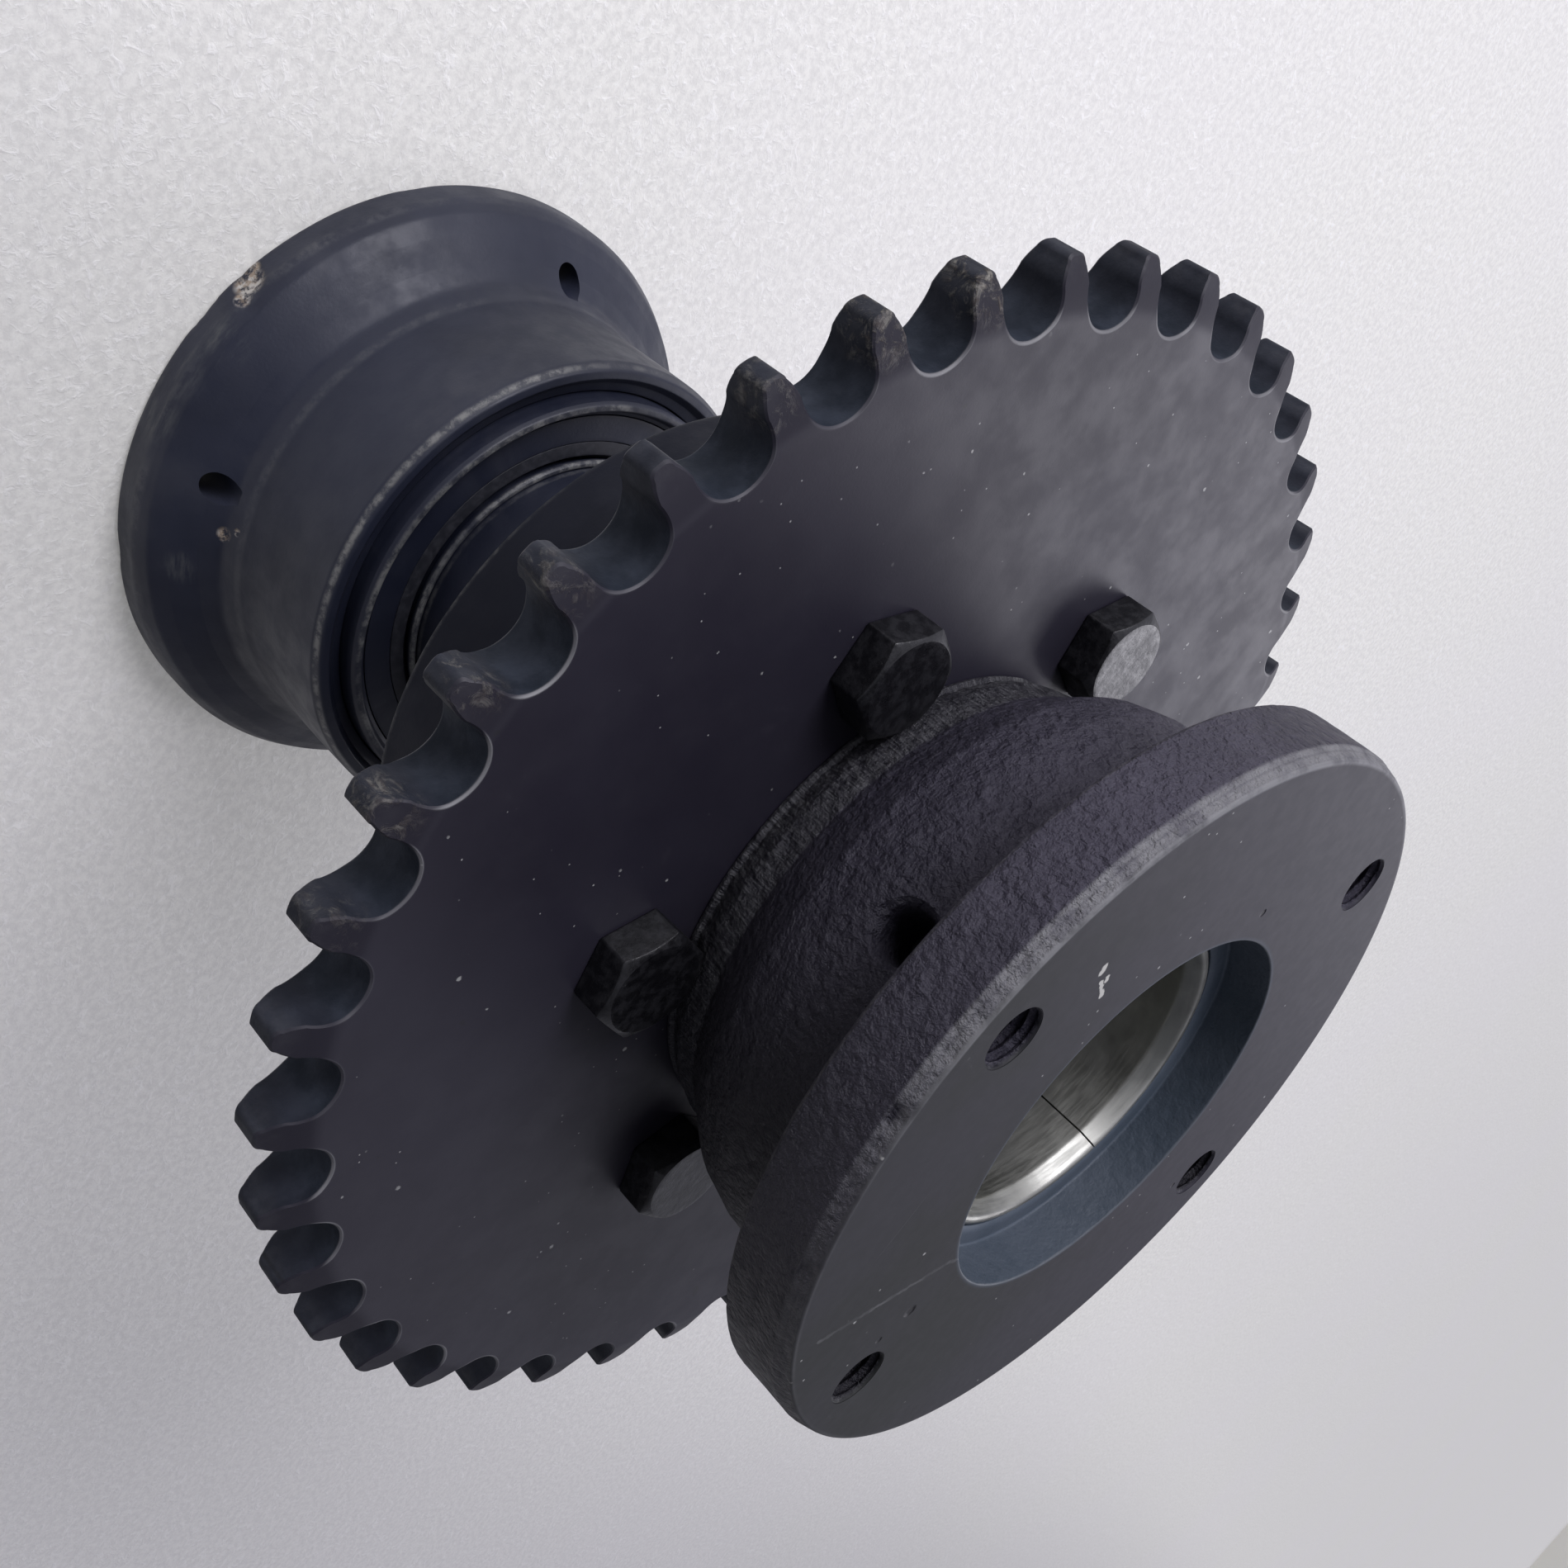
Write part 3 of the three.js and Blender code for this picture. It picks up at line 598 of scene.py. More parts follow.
def steel_material(name, base=(0.50, 0.50, 0.465), grease=False, rough0=0.26, rough1=0.42, across=False):
    g = G(name)
    src = g.vec(g.m("MULTIPLY", g.a, 0.003), g.m("MULTIPLY", g.z, 1.0), g.r)
    if across:
        src = g.vec(g.m("MULTIPLY", g.x, 0.1), g.y, g.z)
    brush = g.noise(1600, 3, 0.6, src)
    cloud = g.noise(70, 4, 0.6)
    dim = tuple(c * 0.62 for c in base)
    col = g.mix(g.ramp(cloud, 0.34, 0.68), dim, base)
    col = g.mix(g.m("MULTIPLY", g.ramp(brush, 0.45, 0.8), 0.08), col, dim)
    rough = g.m("ADD", g.ramp(brush, 0.3, 0.7, rough0, rough1), g.ramp(g.noise(45, 3, 0.5), 0.35, 0.65, 0.0, 0.12))
    metal = 1.0
    layers = [(brush, 0.010, 0.2), (g.noise(240, 3, 0.5), 0.10, 0.12)]
    if grease:
        gn = g.noise(38, 4, 0.55, distort=0.3)
        gm = g.m("MULTIPLY", g.ramp(gn, 0.50, 0.70), g.ramp(g.z, 0.2165, 0.2085))
        old = g.ramp(g.z, 0.196, 0.160, 0.0, 0.85)
        gm = g.m("MAXIMUM", gm, old)
        col = g.mix(gm, col, g.mix(g.ramp(g.noise(200, 3, 0.6), 0.4, 0.65), (0.020, 0.023, 0.024), (0.060, 0.062, 0.056)))
        metal = g.m("SUBTRACT", 1.0, gm)
        rough = g.m("MULTIPLY", rough, g.ramp(gm, 0.0, 1.0, 1.0, 0.8))
        layers.append((gm, 0.12, 0.3))
    g.bump(layers)
    return g.done(col, rough, metal, 0.5)


def rubber_material():
    g = G("seal_rubber")
    n = g.noise(700, 4, 0.6)
    col = g.mix(g.ramp(n, 0.4, 0.7), (0.020, 0.021, 0.027), (0.034, 0.035, 0.043))
    g.bump([(n, 0.12, 0.4)])
    return g.done(col, g.ramp(n, 0.3, 0.7, 0.45, 0.65), 0.0, 0.4)


HUB = hub_material()
SPROCKET = sprocket_material()
BOLT = bolt_material()
# pale edge lines (r, z, width, strength): at (56.7, 57.2) on the drum's front lip, edge wear and partly a painted
# highlight; at (57.3, 25.7) a faint painted highlight along the fillet; at (72.0, 7.6) edge wear on the rear rim
HOUSING = housing_material("housing_black", ((56.7, 57.2, 1.15, 0.75), (57.3, 25.7, 1.6, 0.12), (72.0, 7.6, 1.8, 0.22)))
RETAINER = housing_material("retainer_black", ((49.0, 61.7, 1.1, 0.75),), False)
CASE = housing_material("seal_case_black", ((30.0, 0.0, 0.1, 0.1),), False)
# painted highlight: the pale line on the dust ring's lip at (36.3, 61.1), for the bright arc where the shaft leaves the
# seal
DUSTRING = housing_material("dust_ring_grey", ((36.3, 61.1, 1.2, 0.9),), False)
# painted highlight: the pale line at (67.2, 100.0) on the carrier's back edge
CARRIER = housing_material("carrier_black", ((67.2, 100.0, 1.0, 0.2),), False, 0.42, 0.10)
# painted highlight: the pale line at (35.0, 61.8) where the shaft leaves the dust ring
SHAFT = housing_material("shaft_black", ((35.0, 61.8, 0.9, 0.3),), False)
BUSH = steel_material("bush_steel", (0.50, 0.50, 0.455), grease=True, rough0=0.34, rough1=0.48)
STEEL = steel_material("bare_steel", (0.46, 0.46, 0.44), False, 0.3, 0.5)
BEARING = steel_material("bearing_steel", (0.66, 0.67, 0.68), False, 0.14, 0.26)
BRASS = steel_material("cage_brass", (0.66, 0.47, 0.20), False, 0.25, 0.4)
RUBBER = rubber_material()


def finish_piece(ob, material, body, slot, *nodes):
    ob.data.materials.clear()
    ob.data.materials.append(material)
    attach(ob, body)
    if nodes:
        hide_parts(*nodes)
    return ob


# ---------------------------------------------------------------------------------------------
# housing and seal group
# ---------------------------------------------------------------------------------------------
def on_circle(r, deg):
    return r * math.cos(math.radians(deg)), r * math.sin(math.radians(deg))


def housing_warp(r, z, a):
    if r < 53:
        return r, z
    c, s = math.cos(a), math.sin(a)
    k = noise.noise(Vector((r * c * 0.05, r * s * 0.05, z * 0.05))) * 0.16
    # knocked rim
    for deg, zz, depth, w in ((74.1, 4.0, 1.3, 4.2), (77.0, 8.0, 0.6, 3.0), (83, 1.0, 0.5, 5.0), (128, 3.0, 0.5, 5.0), (40, 5.0, 0.4, 6.0)):
        da = (a - math.radians(deg) + math.pi) % (2 * math.pi) - math.pi
        dd = math.hypot(da * r, z - zz)
        if r > 66 and dd < w:
            k -= depth * (1 - (dd / w) ** 2) * (0.7 + 0.6 * noise.noise(Vector((da * 60, z, 3.0))))
    return r + k, z


housing = lathe("bearing_housing_body", dense(rounded([
    (50, 0.8), (51, 0, 0.2), (72.5, 0, 1.4), (72.3, 7.2, 3.0), (70.5, 10.8, 3.0), (67.3, 13.8, 3.0), (62.3, 17.6, 2.5),
    (58.7, 21.2, 4.0), (57.2, 26.6, 8.0), (57, 34), (57, 55.9, 1.4), (55.8, 58.3, 0.9), (54.1, 58.5, 0.4), (52.7, 57.0, 0.5),
    (50.5, 56.3, 0.3), (50.5, 49.2), (46, 49.2, 0.3), (46, 46.9), (50, 46.9), (50, 7), (52.2, 7), (52.2, 3.9), (50, 3.9),
]), 2.0), 360, housing_warp)
cuts = []
for a in (11.6, 107.6, 191.6, 287.6):
    x, y = on_circle(61.2, a)
    cuts.append(bar("c", 3.3, 3.3, -1, 22.4, x, y, 40))
    cuts.append(bar("c", 4.2, 3.35, -0.6, 0.5, x, y, 40))
boolean(housing, cuts)
finish_piece(housing, HOUSING, "housing", "black_housing", "bearing_housing")

retainer = lathe("seal_retainer_ring", rounded([
    (46.45, 49.5), (50.2, 49.5), (50.2, 60.6, 0.5), (49.7, 61.7, 0.6), (48.3, 61.7, 0.6), (47.4, 59.6, 0.5), (46.45, 59.1, 0.1),
]), 256)
finish_piece(retainer, RETAINER, "housing", "black_housing", "front_seal_retainer")

case = lathe("oil_seal_face", rounded([
    (40.3, 50.5), (46.2, 50.5), (46.2, 59.05, 0.1), (45.6, 59.1, 0.1), (41.0, 59.1, 0.1), (40.3, 59.05, 0.1),
]), 256)
finish_piece(case, CASE, "housing", "black_steel", "front_oil_seal_case")

lip = lathe("oil_seal_lip", rounded([
    (36.6, 51), (40.1, 51), (40.1, 59.0, 0.1), (39.0, 59.05, 0.1), (37.0, 59.05, 0.3), (35.35, 56.6, 0.3), (35.35, 55.4, 0.3), (36.6, 54, 0.4),
]), 192)
finish_piece(lip, RUBBER, "housing", "seal_rubber", "front_oil_seal_lip")

dust_ring = lathe("shaft_dust_ring_body", rounded([
    (35.3, 59.6), (36.5, 59.6, 0.2), (36.6, 60.6, 0.4), (36.2, 61.2, 0.3), (35.3, 61.2, 0.2),
]), 192)
finish_piece(dust_ring, DUSTRING, "rotor", "seal_rubber", "shaft_dust_ring")

circlip_pts = rounded([(46, 4.2, 0.2), (51.8, 4.2, 0.2), (51.8, 6.7, 0.2), (46, 6.7, 0.2)])
circlip = lathe("housing_circlip", circlip_pts, 128)
gapbox = bpy.data.meshes.new("gapbox")
bm = bmesh.new()
bmesh.ops.create_cube(bm, size=1.0, matrix=Matrix.Translation((0, -0.049, 0.0055)) @ Matrix.Diagonal((0.014, 0.02, 0.01, 1)))
bm.to_mesh(gapbox)
bm.free()
gb = bpy.data.objects.new("gapbox", gapbox)
bpy.context.scene.collection.objects.link(gb)
boolean(circlip, [gb])
finish_piece(circlip, SHAFT, "housing", "black_steel", "rear_housing_circlip")


# ---------------------------------------------------------------------------------------------
# bearings
# ---------------------------------------------------------------------------------------------
def groove(side):
    a0 = math.atan2(math.sqrt(4.85 ** 2 - 3.1 ** 2), 3.1)
    return [(42.5 + side * 4.85 * math.cos(-a0 + 2 * a0 * i / 10), 4.85 * math.sin(-a0 + 2 * a0 * i / 10)) for i in range(11)]


def bearing(prefix, z0, detailed):
    zc = z0 + 8
    if detailed:
        pts = rounded([(45.6, z0 + 16, 0.3), (49.7, z0 + 16, 0.9), (49.7, z0, 0.9), (45.6, z0, 0.3)]) + [(r, z + zc) for r, z in groove(1)]
        o = lathe(prefix + "_outer_race", pts, 160)
        finish_piece(o, BEARING, "housing", "bearing_steel", prefix + "_bearing_outer_ring")
        pts = rounded([(39.4, z0 + 16, 0.3), (35.3, z0 + 16, 0.8), (35.3, z0, 0.8), (39.4, z0, 0.3)]) + [(r, z + zc) for r, z in groove(-1)]
        i = lathe(prefix + "_inner_race", pts, 160)
        finish_piece(i, BEARING, "rotor", "bearing_steel", prefix + "_bearing_inner_ring")
        verts = bmesh.new()
        for k in range(12):
            x, y = on_circle(42.5, 30 * k)
            bmesh.ops.create_icosphere(verts, subdivisions=3, radius=4.5 * MM, matrix=Matrix.Translation((x * MM, y * MM, zc * MM)))
        me = bpy.data.meshes.new(prefix + "_balls")
        verts.to_mesh(me)
        verts.free()
        balls = bpy.data.objects.new(prefix + "_balls", me)
        bpy.context.scene.collection.objects.link(balls)
        smooth(balls)
        finish_piece(balls, BEARING, prefix + "_cage", "bearing_steel")
        cage = lathe(prefix + "_cage_ring", rounded([(41.2, zc - 5.6, 0.3), (43.8, zc - 5.6, 0.3), (43.8, zc + 5.6, 0.3), (41.2, zc + 5.6, 0.3)]), 160)
        finish_piece(cage, BRASS, prefix + "_cage", "cage_brass", prefix + "_ball_cage")
    else:
        for n, m in (("_bearing_outer_ring", BEARING), ("_bearing_inner_ring", BEARING), ("_ball_cage", BRASS)):
            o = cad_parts[prefix + n]
            o.data.materials.clear()
            o.data.materials.append(m)


bearing("rear", 7.0, True)
bearing("front", 30.6, True)
for n in ("outer_spacer_ring", "inner_spacer_sleeve", "carrier_key", "hub_key"):
    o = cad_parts[n]
    o.data.materials.clear()
    o.data.materials.append(STEEL)

nut = lathe("lock_nut", rounded([(35.3, 0.8, 0.4), (42.6, 0.8, 0.5), (43.5, 1.8, 0.4), (43.5, 5, 0.3), (35.3, 5, 0.2)]), 160)
slots = []
for k in range(4):
    me = bpy.data.meshes.new("s")
    bm = bmesh.new()
    m = Matrix.Rotation(math.radians(45 + 90 * k), 4, "Z") @ Matrix.Translation((0.0436, 0, 0.003)) @ Matrix.Diagonal((0.006, 0.007, 0.012, 1))
    bmesh.ops.create_cube(bm, size=1.0, matrix=m)
    bm.to_mesh(me)
    bm.free()
    s = bpy.data.objects.new("s", me)
    bpy.context.scene.collection.objects.link(s)
    slots.append(s)
boolean(nut, slots)
finish_piece(nut, SHAFT, "rotor", "black_steel", "shaft_lock_nut")
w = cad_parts["shaft_lock_washer"]
w.data.materials.clear()
w.data.materials.append(STEEL)

# ---------------------------------------------------------------------------------------------
# quill and carrier
# ---------------------------------------------------------------------------------------------
quill = lathe("quill_body", rounded([
    (30.2, 0.6, 0.5), (35, 0.6, 0.7), (35, 46.9), (38.5, 46.9, 0.2), (38.5, 50.2, 0.4), (35, 50.2), (35, 140.4), (30.2, 140.4, 0.5),
]), 200)
finish_piece(quill, SHAFT, "rotor", "black_steel", "quill_shaft")


def carrier_warp(r, z, a):
    if r < 60:
        return r, z
    return r + 0.12 * noise.noise(Vector((r * math.cos(a) * 0.06, r * math.sin(a) * 0.06, z * 0.06))), z


carrier = lathe("carrier_body", dense(rounded([
    (35.4, 98.6, 0.4), (65.9, 98.6, 0.8), (67.3, 100.0, 0.8), (67.3, 129.5, 2.0), (69.5, 133.6, 2.0), (76, 136, 1.0),
    (76, 155.8, 0.8), (75, 156.7, 0.3), (45, 156.7, 0.3), (45, 140.7), (35.4, 140.7, 0.3),
]), 3.0), 300, carrier_warp)
finish_piece(carrier, CARRIER, "rotor", "black_steel", "carrier_hub")


# ---------------------------------------------------------------------------------------------
# sprocket
# ---------------------------------------------------------------------------------------------
def taper(r):
    t = max(0.0, (r - 117.0) / (126.5 - 117.0))
    return 3.0 * t ** 1.35


def tooth_levels(b):
    """(radius, half width in radians) from the gap's bottom to the tip; b backs the outline off for the edge bevel."""
    out = []
    s = SEAT_R + b
    n = 18
    for i in range(n + 1):
        ph = math.radians(96.0 * i / n)
        x = PITCH_R - s * math.cos(ph)
        y = s * math.sin(ph)
        out.append((math.hypot(x, y), math.pi / 40 - math.atan2(y, x)))
    r0, h0 = out[-1]
    r1, h1 = 126.5 - b, math.radians(0.60) - b / 126.5
    for i in range(1, 5):
        t = 0.72 * i / 4
        bulge = 0.30 * math.sin(math.pi * t) / 124.0
        out.append((r0 + (r1 - r0) * t, h0 + (h1 - h0) * t + bulge))
    ra, ha = out[-1]
    for i in range(1, 7):
        ph = math.radians(15.0 * i)
        out.append((ra + (r1 - ra) * math.sin(ph), ha - (ha - h1 * 0.5) * (1 - math.cos(ph))))
    return out


def sprocket_mesh():
    K = 8
    A, B = tooth_levels(0.32), tooth_levels(0.0)
    verts, faces, index = [], [], {}

    def vid(r, a, z):
        key = (round(r, 4), round(a % (2 * math.pi), 7), round(z, 4))
        if key not in index:
            index[key] = len(verts)
            verts.append((r * math.cos(a), r * math.sin(a), z))
        return index[key]

    def cell(p):
        q = []
        for v in p:
            if v not in q:
                q.append(v)
        if len(q) > 2:
            faces.append(tuple(q))

    inner = [45.0, 45.6, 62.0, 80.0, 98.0, 109.0, A[0][0]]
    for t in range(40):
        c = GAP0 + math.radians(4.5) + 2 * math.pi * t / 40
        us = [-1 + 2 * k / K for k in range(K + 1)]
        for side in (1, -1):
            def z(r):
                return 163 + side * (6 - taper(r))
            # plate
            for i in range(len(inner) - 1):
                ra, rb = inner[i], inner[i + 1]
                za, zb = z(ra), z(rb)
                if i == 0:
                    za = 163 + side * 5.4
                for k in range(K):
                    a0, a1 = c + us[k] * math.pi / 40, c + us[k + 1] * math.pi / 40
                    cell([vid(ra, a0, za), vid(rb, a0, zb), vid(rb, a1, zb), vid(ra, a1, za)])
            # tooth side
            for j in range(len(A) - 1):
                (ra, ha), (rb, hb) = A[j], A[j + 1]
                for k in range(K):
                    cell([vid(ra, c + us[k] * ha, z(ra)), vid(rb, c + us[k] * hb, z(rb)), vid(rb, c + us[k + 1] * hb, z(rb)), vid(ra, c + us[k + 1] * ha, z(ra))])
            # edge bevel along the flanks and over the tip
            for j in range(len(A) - 1):
                for u in (-1, 1):
                    pa, pb, qa, qb = A[j], A[j + 1], B[j], B[j + 1]
                    cell([vid(pa[0], c + u * pa[1], z(pa[0])), vid(pb[0], c + u * pb[1], z(pb[0])),
                          vid(qb[0], c + u * qb[1], z(qb[0]) - side * 0.32), vid(qa[0], c + u * qa[1], z(qa[0]) - side * 0.32)])
            pa, qa = A[-1], B[-1]
            for k in range(K):
                cell([vid(pa[0], c + us[k] * pa[1], z(pa[0])), vid(pa[0], c + us[k + 1] * pa[1], z(pa[0])),
                      vid(qa[0], c + us[k + 1] * qa[1], z(qa[0]) - side * 0.32), vid(qa[0], c + us[k] * qa[1], z(qa[0]) - side * 0.32)])
        # walls
        layers = [1.0, 0.5, 0.0, -0.5, -1.0]

        def zw(r, s):
            return 163 + s * (6 - taper(r) - 0.32)
        for j in range(len(B) - 1):
            for u in (-1, 1):
                for s0, s1 in zip(layers, layers[1:]):
                    (ra, ha), (rb, hb) = B[j], B[j + 1]
                    cell([vid(ra, c + u * ha, zw(ra, s0)), vid(rb, c + u * hb, zw(rb, s0)), vid(rb, c + u * hb, zw(rb, s1)), vid(ra, c + u * ha, zw(ra, s1))])
        r, h = B[-1]
        for k in range(K):
            for s0, s1 in zip(layers, layers[1:]):
                cell([vid(r, c + us[k] * h, zw(r, s0)), vid(r, c + us[k + 1] * h, zw(r, s0)), vid(r, c + us[k + 1] * h, zw(r, s1)), vid(r, c + us[k] * h, zw(r, s1))])
        # bore
        for k in range(K):
            a0, a1 = c + us[k] * math.pi / 40, c + us[k + 1] * math.pi / 40
            cell([vid(45.0, a0, 168.4), vid(45.0, a1, 168.4), vid(45.0, a1, 157.6), vid(45.0, a0, 157.6)])
    return verts, faces


v, f = sprocket_mesh()
sprocket = make("sprocket_body", v, f, 26)
finish_piece(sprocket, SPROCKET, "rotor", "black_steel", "chain_sprocket")


# ---------------------------------------------------------------------------------------------
# bolts
# ---------------------------------------------------------------------------------------------
def hex_outline(af, fillet=0.7, side=10, arc=4):
    pts = []
    big = af / 2 / math.cos(math.pi / 6)
    for k in range(6):
        a = math.radians(60 * k)
        cx, cy = (big - fillet / math.cos(math.pi / 6)) * math.cos(a), (big - fillet / math.cos(math.pi / 6)) * math.sin(a)
        corner = [(cx + fillet * math.cos(a + math.radians(-30 + 60 * i / arc)), cy + fillet * math.sin(a + math.radians(-30 + 60 * i / arc))) for i in range(arc + 1)]
        pts += corner
        an = math.radians(60 * (k + 1))
        nx, ny = (big - fillet / math.cos(math.pi / 6)) * math.cos(an), (big - fillet / math.cos(math.pi / 6)) * math.sin(an)
        n0 = (nx + fillet * math.cos(an - math.radians(30)), ny + fillet * math.sin(an - math.radians(30)))
        for i in range(1, side):
            pts.append((corner[-1][0] + (n0[0] - corner[-1][0]) * i / side, corner[-1][1] + (n0[1] - corner[-1][1]) * i / side))
    return pts


def bolt(name, x, y, z0, turn, body):
    H, RC, SL = 7.6, 8.75, math.tan(math.radians(27))
    o = hex_outline(19.0)
    rings = []

    def ring(off, zf):
        out = []
        for px, py in o:
            rho = math.hypot(px, py)
            k = (rho - off) / rho
            out.append((px * k, py * k, zf(rho - off)))
        rings.append(out)

    def cone(r):
        return H - max(0.0, r - RC) * SL

    def circle(r, z):
        rings.append([(r * px / math.hypot(px, py), r * py / math.hypot(px, py), z) for px, py in o])
    circle(6.0, -30.0)
    circle(6.0, 0.0)
    ring(0.5, lambda r: 0.0)
    ring(0.15, lambda r: 0.08)
    ring(0.0, lambda r: 0.35)
    ring(0.0, lambda r: cone(r) - 0.30)
    ring(0.05, lambda r: cone(r) - 0.12)
    ring(0.22, lambda r: cone(r) - 0.01)
    circle(RC + 0.28, cone(RC + 0.28))
    circle(RC + 0.10, H - 0.03)
    circle(RC - 0.12, H)
    circle(RC - 0.9, H)
    circle(5.5, H - 0.05)
    verts = [p for r in rings for p in r]
    n = len(o)
    faces = []
    for i in range(len(rings) - 1):
        for j in range(n):
            k = (j + 1) % n
            faces.append((i * n + j, i * n + k, (i + 1) * n + k, (i + 1) * n + j))
    faces.append(tuple(range(n - 1, -1, -1)))
    faces.append(tuple(range((len(rings) - 1) * n, len(rings) * n)))
    c, s = math.cos(math.radians(turn)), math.sin(math.radians(turn))
    verts = [(x + px * c - py * s, y + px * s + py * c, z0 + pz) for px, py, pz in verts]
    return make(name, verts, faces, 24)


BOLT_TURN = (13.9, 4.9, 15.9, 26.9, 37.9, 48.9)
for i in range(6):
    x, y = on_circle(63.4, -6.1 + 60 * i)
    b = bolt("hex_bolt_%d" % (i + 1), x, y, 169.05, BOLT_TURN[i], "rotor")
    finish_piece(b, BOLT, "rotor", "bolt_steel", "sprocket_bolt_%d" % (i + 1))


# ---------------------------------------------------------------------------------------------
# front hub, bush, threads, grub screw
# ---------------------------------------------------------------------------------------------
def hub_warp(r, z, a):
    if r < 47 or z < 169.5 or z > 230.5:
        return r, z
    c, s = math.cos(a), math.sin(a)
    p = Vector((r * c, r * s, z))
    k = 0.10 * noise.noise(p * 0.09)
    if z < 180.5:
        w = min(1.0, max(0.0, (180.5 - z) / 1.0)) * min(1.0, (z - 169.5) / 1.2)
        k += w * (0.34 * noise.noise(p * 0.28) + 0.22 * noise.noise(p * 0.7) + 0.12 * noise.noise(p * 1.6))
    elif z < 228:
        k += 0.09 * noise.noise(p * 0.35) + 0.045 * noise.noise(p * 1.1)
    else:
        # nibbled front edge
        k += 0.10 * noise.noise(p * 0.5) + 0.07 * noise.noise(p * 1.5)
        for deg, zz, depth, wd in ((96.8, 228.6, 0.9, 2.2), (87, 229.5, 0.5, 1.6), (120, 229, 0.45, 2.0), (60, 229.6, 0.4, 2.4)):
            da = (a - math.radians(deg) + math.pi) % (2 * math.pi) - math.pi
            dd = math.hypot(da * r, z - zz)
            if dd < wd and r > 70:
                k -= depth * (1 - (dd / wd) ** 2)
    return r + k, z


hub = lathe("front_hub_body", dense(rounded([
    (30.5, 141, 0.5), (44.7, 141, 0.6), (44.7, 169.15), (50.3, 169.15, 0.25), (50.6, 170.0, 0.3), (50.0, 170.7, 0.2),
    (51.9, 174.5, 2.0), (52.3, 179.4, 0.5), (54.3, 182.6, 2.5), (58.0, 188.4, 5.0), (60, 196.5, 8.0), (60, 205), (60, 215.5, 1.2),
    (73.5, 215.5, 0.5), (74.3, 216.4, 0.5), (74.3, 227.9, 0.9), (73.2, 231.0, 0.5), (37.75, 231, 0.3), (37.75, 221.5, 0.5),
    (34.1, 221.5), (33.3, 221.2, 0.2), (33.3, 159.7), (30.5, 159.7, 0.3),
]), 1.3), 420, hub_warp)
cuts = []
for a in (82.3, 158.9, 262.4, 335.9):
    x, y = on_circle(62, a)
    cuts.append(bar("c", 5.75, 5.75, 213, 232.5, x, y, 56))
a_g, z_g = 81.9, 206.4
cuts.append(radial_bar("c", [(31, 4.8), (58.2, 4.8), (59.0, 5.3), (60.4, 6.6), (62.2, 6.8)], z_g, a_g, 56))
boolean(hub, cuts)
finish_piece(hub, HUB, "rotor", "hub_steel", "front_hub")


def thread(name, x, y, z0, z1, r_in, r_out, r_skin, pitch):
    seg, per = 40, 8
    n = int((z1 - z0) / pitch * per)
    verts, faces = [], []
    for i in range(n + 1):
        z = z0 + (z1 - z0) * i / n
        for j in range(seg):
            t = (z / pitch - j / seg) % 1.0
            tri = 1 - abs(2 * t - 1)
            k = min(1.0, max(0.0, tri * 1.25 - 0.1))
            r = r_in + (r_out - r_in) * k
            mouth = max(0.0, (z - (z1 - 1.1)) / 1.1)
            r = max(r, r_in + (r_skin - 0.1 - r_in) * mouth)
            a = 2 * math.pi * j / seg
            verts.append((x + r * math.cos(a), y + r * math.sin(a), z))
    base = len(verts)
    for z in (z0, z1):
        for j in range(seg):
            a = 2 * math.pi * j / seg
            verts.append((x + r_skin * math.cos(a), y + r_skin * math.sin(a), z))
    for i in range(n):
        for j in range(seg):
            k = (j + 1) % seg
            faces.append((i * seg + j, i * seg + k, (i + 1) * seg + k, (i + 1) * seg + j))
    for j in range(seg):
        k = (j + 1) % seg
        faces.append((base + j, base + k, base + seg + k, base + seg + j))
        faces.append((j, k, base + k, base + j))
        faces.append((n * seg + j, n * seg + k, base + seg + k, base + seg + j))
    return make(name, verts, faces, 25)


for i, a in enumerate((82.3, 158.9, 262.4, 335.9)):
    x, y = on_circle(62, a)
    t = thread("tapped_thread_%d" % (i + 1), x, y, 213.4, 230.9, 4.9, 5.6, 5.73, 1.75)
    finish_piece(t, HUB, "rotor", "hub_steel")

bush = lathe("wrapped_bush", rounded([
    (29.65, 160, 0.4), (33, 160, 0.5), (33, 221.0, 0.4), (32.2, 221.7, 0.5), (31.2, 221.5, 0.9), (29.65, 218.4, 1.6),
]), 320)
me = bpy.data.meshes.new("slit")
bm = bmesh.new()
m = Matrix.Rotation(math.radians(247), 4, "Z") @ Matrix.Translation((0.0315, 0, 0.19)) @ Matrix.Diagonal((0.008, 0.00035, 0.09, 1))
bmesh.ops.create_cube(bm, size=1.0, matrix=m)
bm.to_mesh(me)
bm.free()
slit = bpy.data.objects.new("slit", me)
bpy.context.scene.collection.objects.link(slit)
boolean(bush, [slit])
finish_piece(bush, BUSH, "rotor", "bare_steel", "front_bushing")

grub = radial_bar("grub_screw_body", [(35.2, 3.2), (36.2, 4.4), (46.4, 4.4), (47.0, 3.8)], z_g, a_g, 40)
sock = radial_bar("c", [(42, 2.9), (48, 2.9)], z_g, a_g, 6)
boolean(grub, [sock])
finish_piece(grub, BOLT, "rotor", "bolt_steel", "hub_grub_screw")


# ---------------------------------------------------------------------------------------------
# floor, light, camera
# ---------------------------------------------------------------------------------------------
FLOOR_GLOW = 0.29


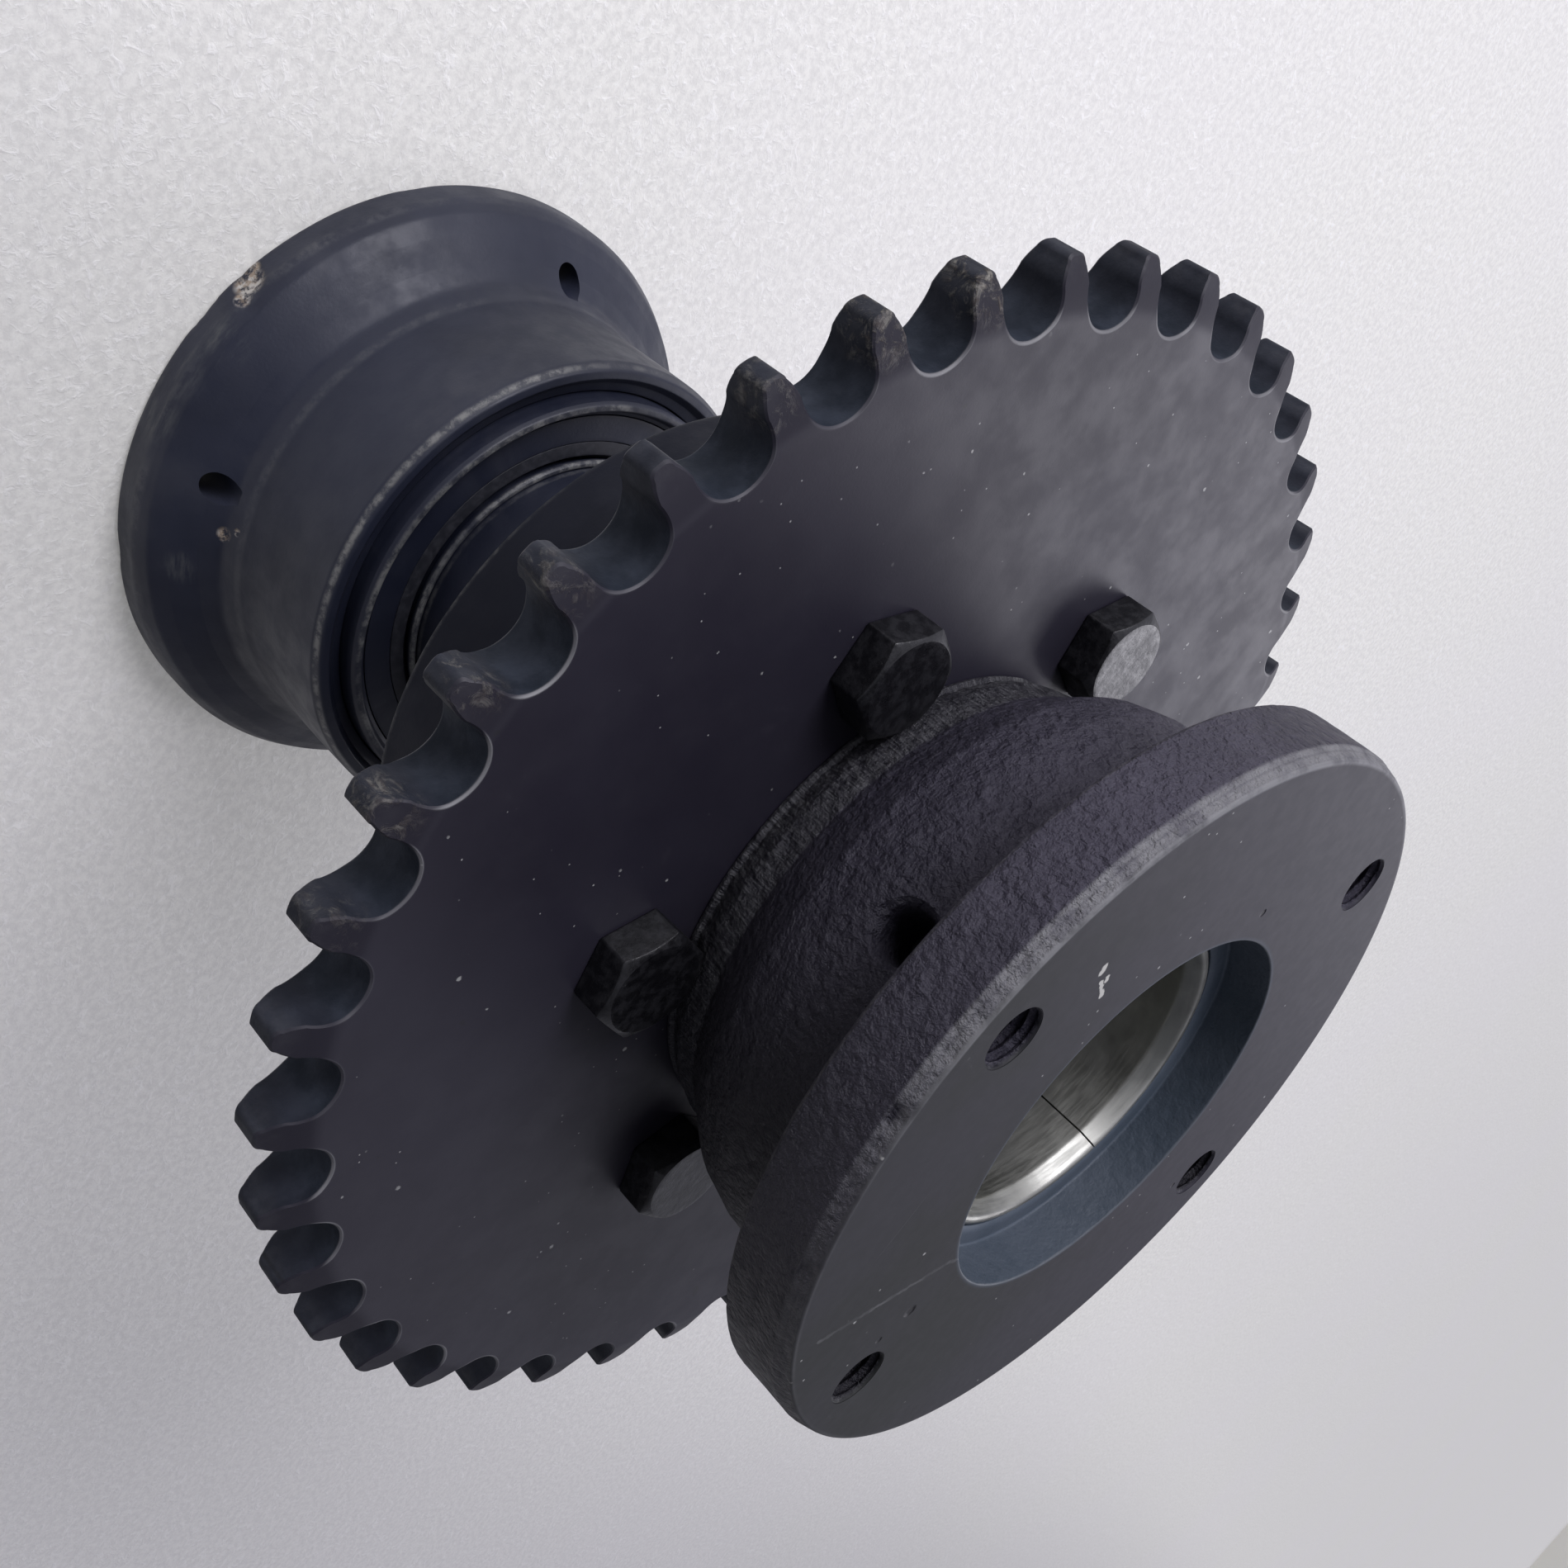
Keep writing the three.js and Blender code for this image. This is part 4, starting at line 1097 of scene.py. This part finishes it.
def floor_material():
    g = G("pale_floor")
    n = g.noise(420, 5, 0.66)
    b = g.noise(3.0, 3, 0.5)
    col = g.mix(g.ramp(n, 0.35, 0.65), (0.665, 0.655, 0.625), (0.77, 0.76, 0.72))
    col = g.mix(g.m("MULTIPLY", g.ramp(b, 0.4, 0.65), 0.3), col, (0.72, 0.70, 0.70))
    wool = g.ramp(g.noise(260, 4, 0.62, distort=1.6), 0.50, 0.70)
    col = g.mix(g.m("MULTIPLY", wool, 0.40), col, (0.88, 0.87, 0.86))
    # painted shade: towards -x and +y the floor's colour darkens and its glow (FLOOR_GLOW, light from a part that is no
    # lamp) fades, a painted fall-off of the light
    side = g.m("SUBTRACT", g.x, g.m("MULTIPLY", g.y, 0.35))
    painted_falloff = g.ramp(side, -0.34, 0.12, 0.45, 1.04)
    col = g.mix(g.ramp(side, -0.34, 0.10, 0.42, 0.0), col, (0.42, 0.41, 0.42))
    g.bump([(n, 0.9, 0.22), (wool, 0.5, 0.25)])
    g.link(col, g.bsdf.inputs["Emission Color"])
    g.link(g.m("MULTIPLY", painted_falloff, FLOOR_GLOW), g.bsdf.inputs["Emission Strength"])
    return g.done(col, 0.85, 0.0, 0.15)


me = bpy.data.meshes.new("floor")
me.from_pydata(
    [(x, y, z) for z in (-0.0002, 1.2) for x, y in ((-40, -40), (40, -40), (40, 40), (-40, 40))], [],
    [(0, 1, 2, 3), (0, 4, 5, 1), (1, 5, 6, 2), (2, 6, 7, 3), (3, 7, 4, 0)])
floor = bpy.data.objects.new("floor", me)
bpy.context.scene.collection.objects.link(floor)
floor.data.materials.append(floor_material())

world = bpy.data.worlds.new("studio")
bpy.context.scene.world = world
world.use_nodes = True
wn = world.node_tree
wn.nodes.clear()
wo = wn.nodes.new("ShaderNodeOutputWorld")
bg = wn.nodes.new("ShaderNodeBackground")
wn.links.new(bg.outputs[0], wo.inputs[0])
geo = wn.nodes.new("ShaderNodeTexCoord")


def wmath(op, a, b, clamp=False):
    n = wn.nodes.new("ShaderNodeMath")
    n.operation = op
    n.use_clamp = clamp
    for i, v in enumerate((a, b)):
        if isinstance(v, bpy.types.NodeSocket):
            wn.links.new(v, n.inputs[i])
        else:
            n.inputs[i].default_value = v
    return n.outputs[0]


def wlobe(direction, lo, hi, a, b):
    """Smooth glow of the room round one direction."""
    d = wn.nodes.new("ShaderNodeVectorMath")
    d.operation = "DOT_PRODUCT"
    wn.links.new(geo.outputs["Generated"], d.inputs[0])
    d.inputs[1].default_value = Vector(direction).normalized()
    n = wn.nodes.new("ShaderNodeMapRange")
    n.interpolation_type = "SMOOTHSTEP"
    wn.links.new(d.outputs["Value"], n.inputs["Value"])
    n.inputs["From Min"].default_value = lo
    n.inputs["From Max"].default_value = hi
    n.inputs["To Min"].default_value = a
    n.inputs["To Max"].default_value = b
    return n.outputs["Result"]


room = wlobe((0.55, -1.0, 0.05), -0.5, 0.95, 0.10, 0.58)
glow = wlobe((0.36, -1.0, 0.14), 0.76, 1.0, 0.0, 0.16)
ceiling = wlobe((0.45, 0.1, 1.0), 0.45, 1.0, 0.0, 0.42)
wn.links.new(wmath("ADD", wmath("ADD", room, glow), ceiling), bg.inputs[1])
bg.inputs[0].default_value = (0.87, 0.87, 1.0, 1)


def area(name, pos, target, size, power, color=(1, 1, 1), size_y=None):
    l = bpy.data.lights.new(name, "AREA")
    l.shape = "RECTANGLE" if size_y else "SQUARE"
    l.size = size
    if size_y:
        l.size_y = size_y
    l.energy = power
    l.color = color
    o = bpy.data.objects.new(name, l)
    o.location = pos
    o.rotation_euler = (Vector(target) - Vector(pos)).to_track_quat("-Z", "Y").to_euler()
    bpy.context.scene.collection.objects.link(o)
    return o


sun = bpy.data.lights.new("key", "SUN")
sun.energy = 0.55
sun.angle = math.radians(26)
sun.color = (0.95, 0.93, 1.0)
key = bpy.data.objects.new("key", sun)
key.rotation_euler = Vector((-0.30, 1.34, -0.64)).to_track_quat("-Z", "Y").to_euler()
bpy.context.scene.collection.objects.link(key)
area("side", (1.25, 0.66, 0.95), (0, 0, 0.10), 0.9, 20.0, (0.93, 0.92, 1.0))
area("fill", (-0.9, 1.0, 1.4), (0, 0, 0.1), 1.4, 0.8, (0.76, 0.84, 1.0))

R = ((0.5961843189, -0.4879510123, 0.6375484824), (-0.7931407996, -0.2348534071, 0.5619355383), (-0.1244665815, -0.8406828693, -0.5270297747))
CAM = Vector((0.0485423206, 0.29567935224, 0.32164795631))
rot = Matrix(R).transposed() @ Matrix.Diagonal((1, -1, -1))
cam_data = bpy.data.cameras.new("photo_camera")
cam_data.sensor_width = 36
cam_data.lens = 40.60113739
cam_data.clip_start = 0.01
cam_data.clip_end = 60
cam = bpy.data.objects.new("photo_camera", cam_data)
bpy.context.scene.collection.objects.link(cam)
cam.matrix_world = Matrix.Translation(CAM) @ rot.to_4x4()
bpy.context.scene.camera = cam
bpy.context.scene.view_settings.view_transform = "Standard"
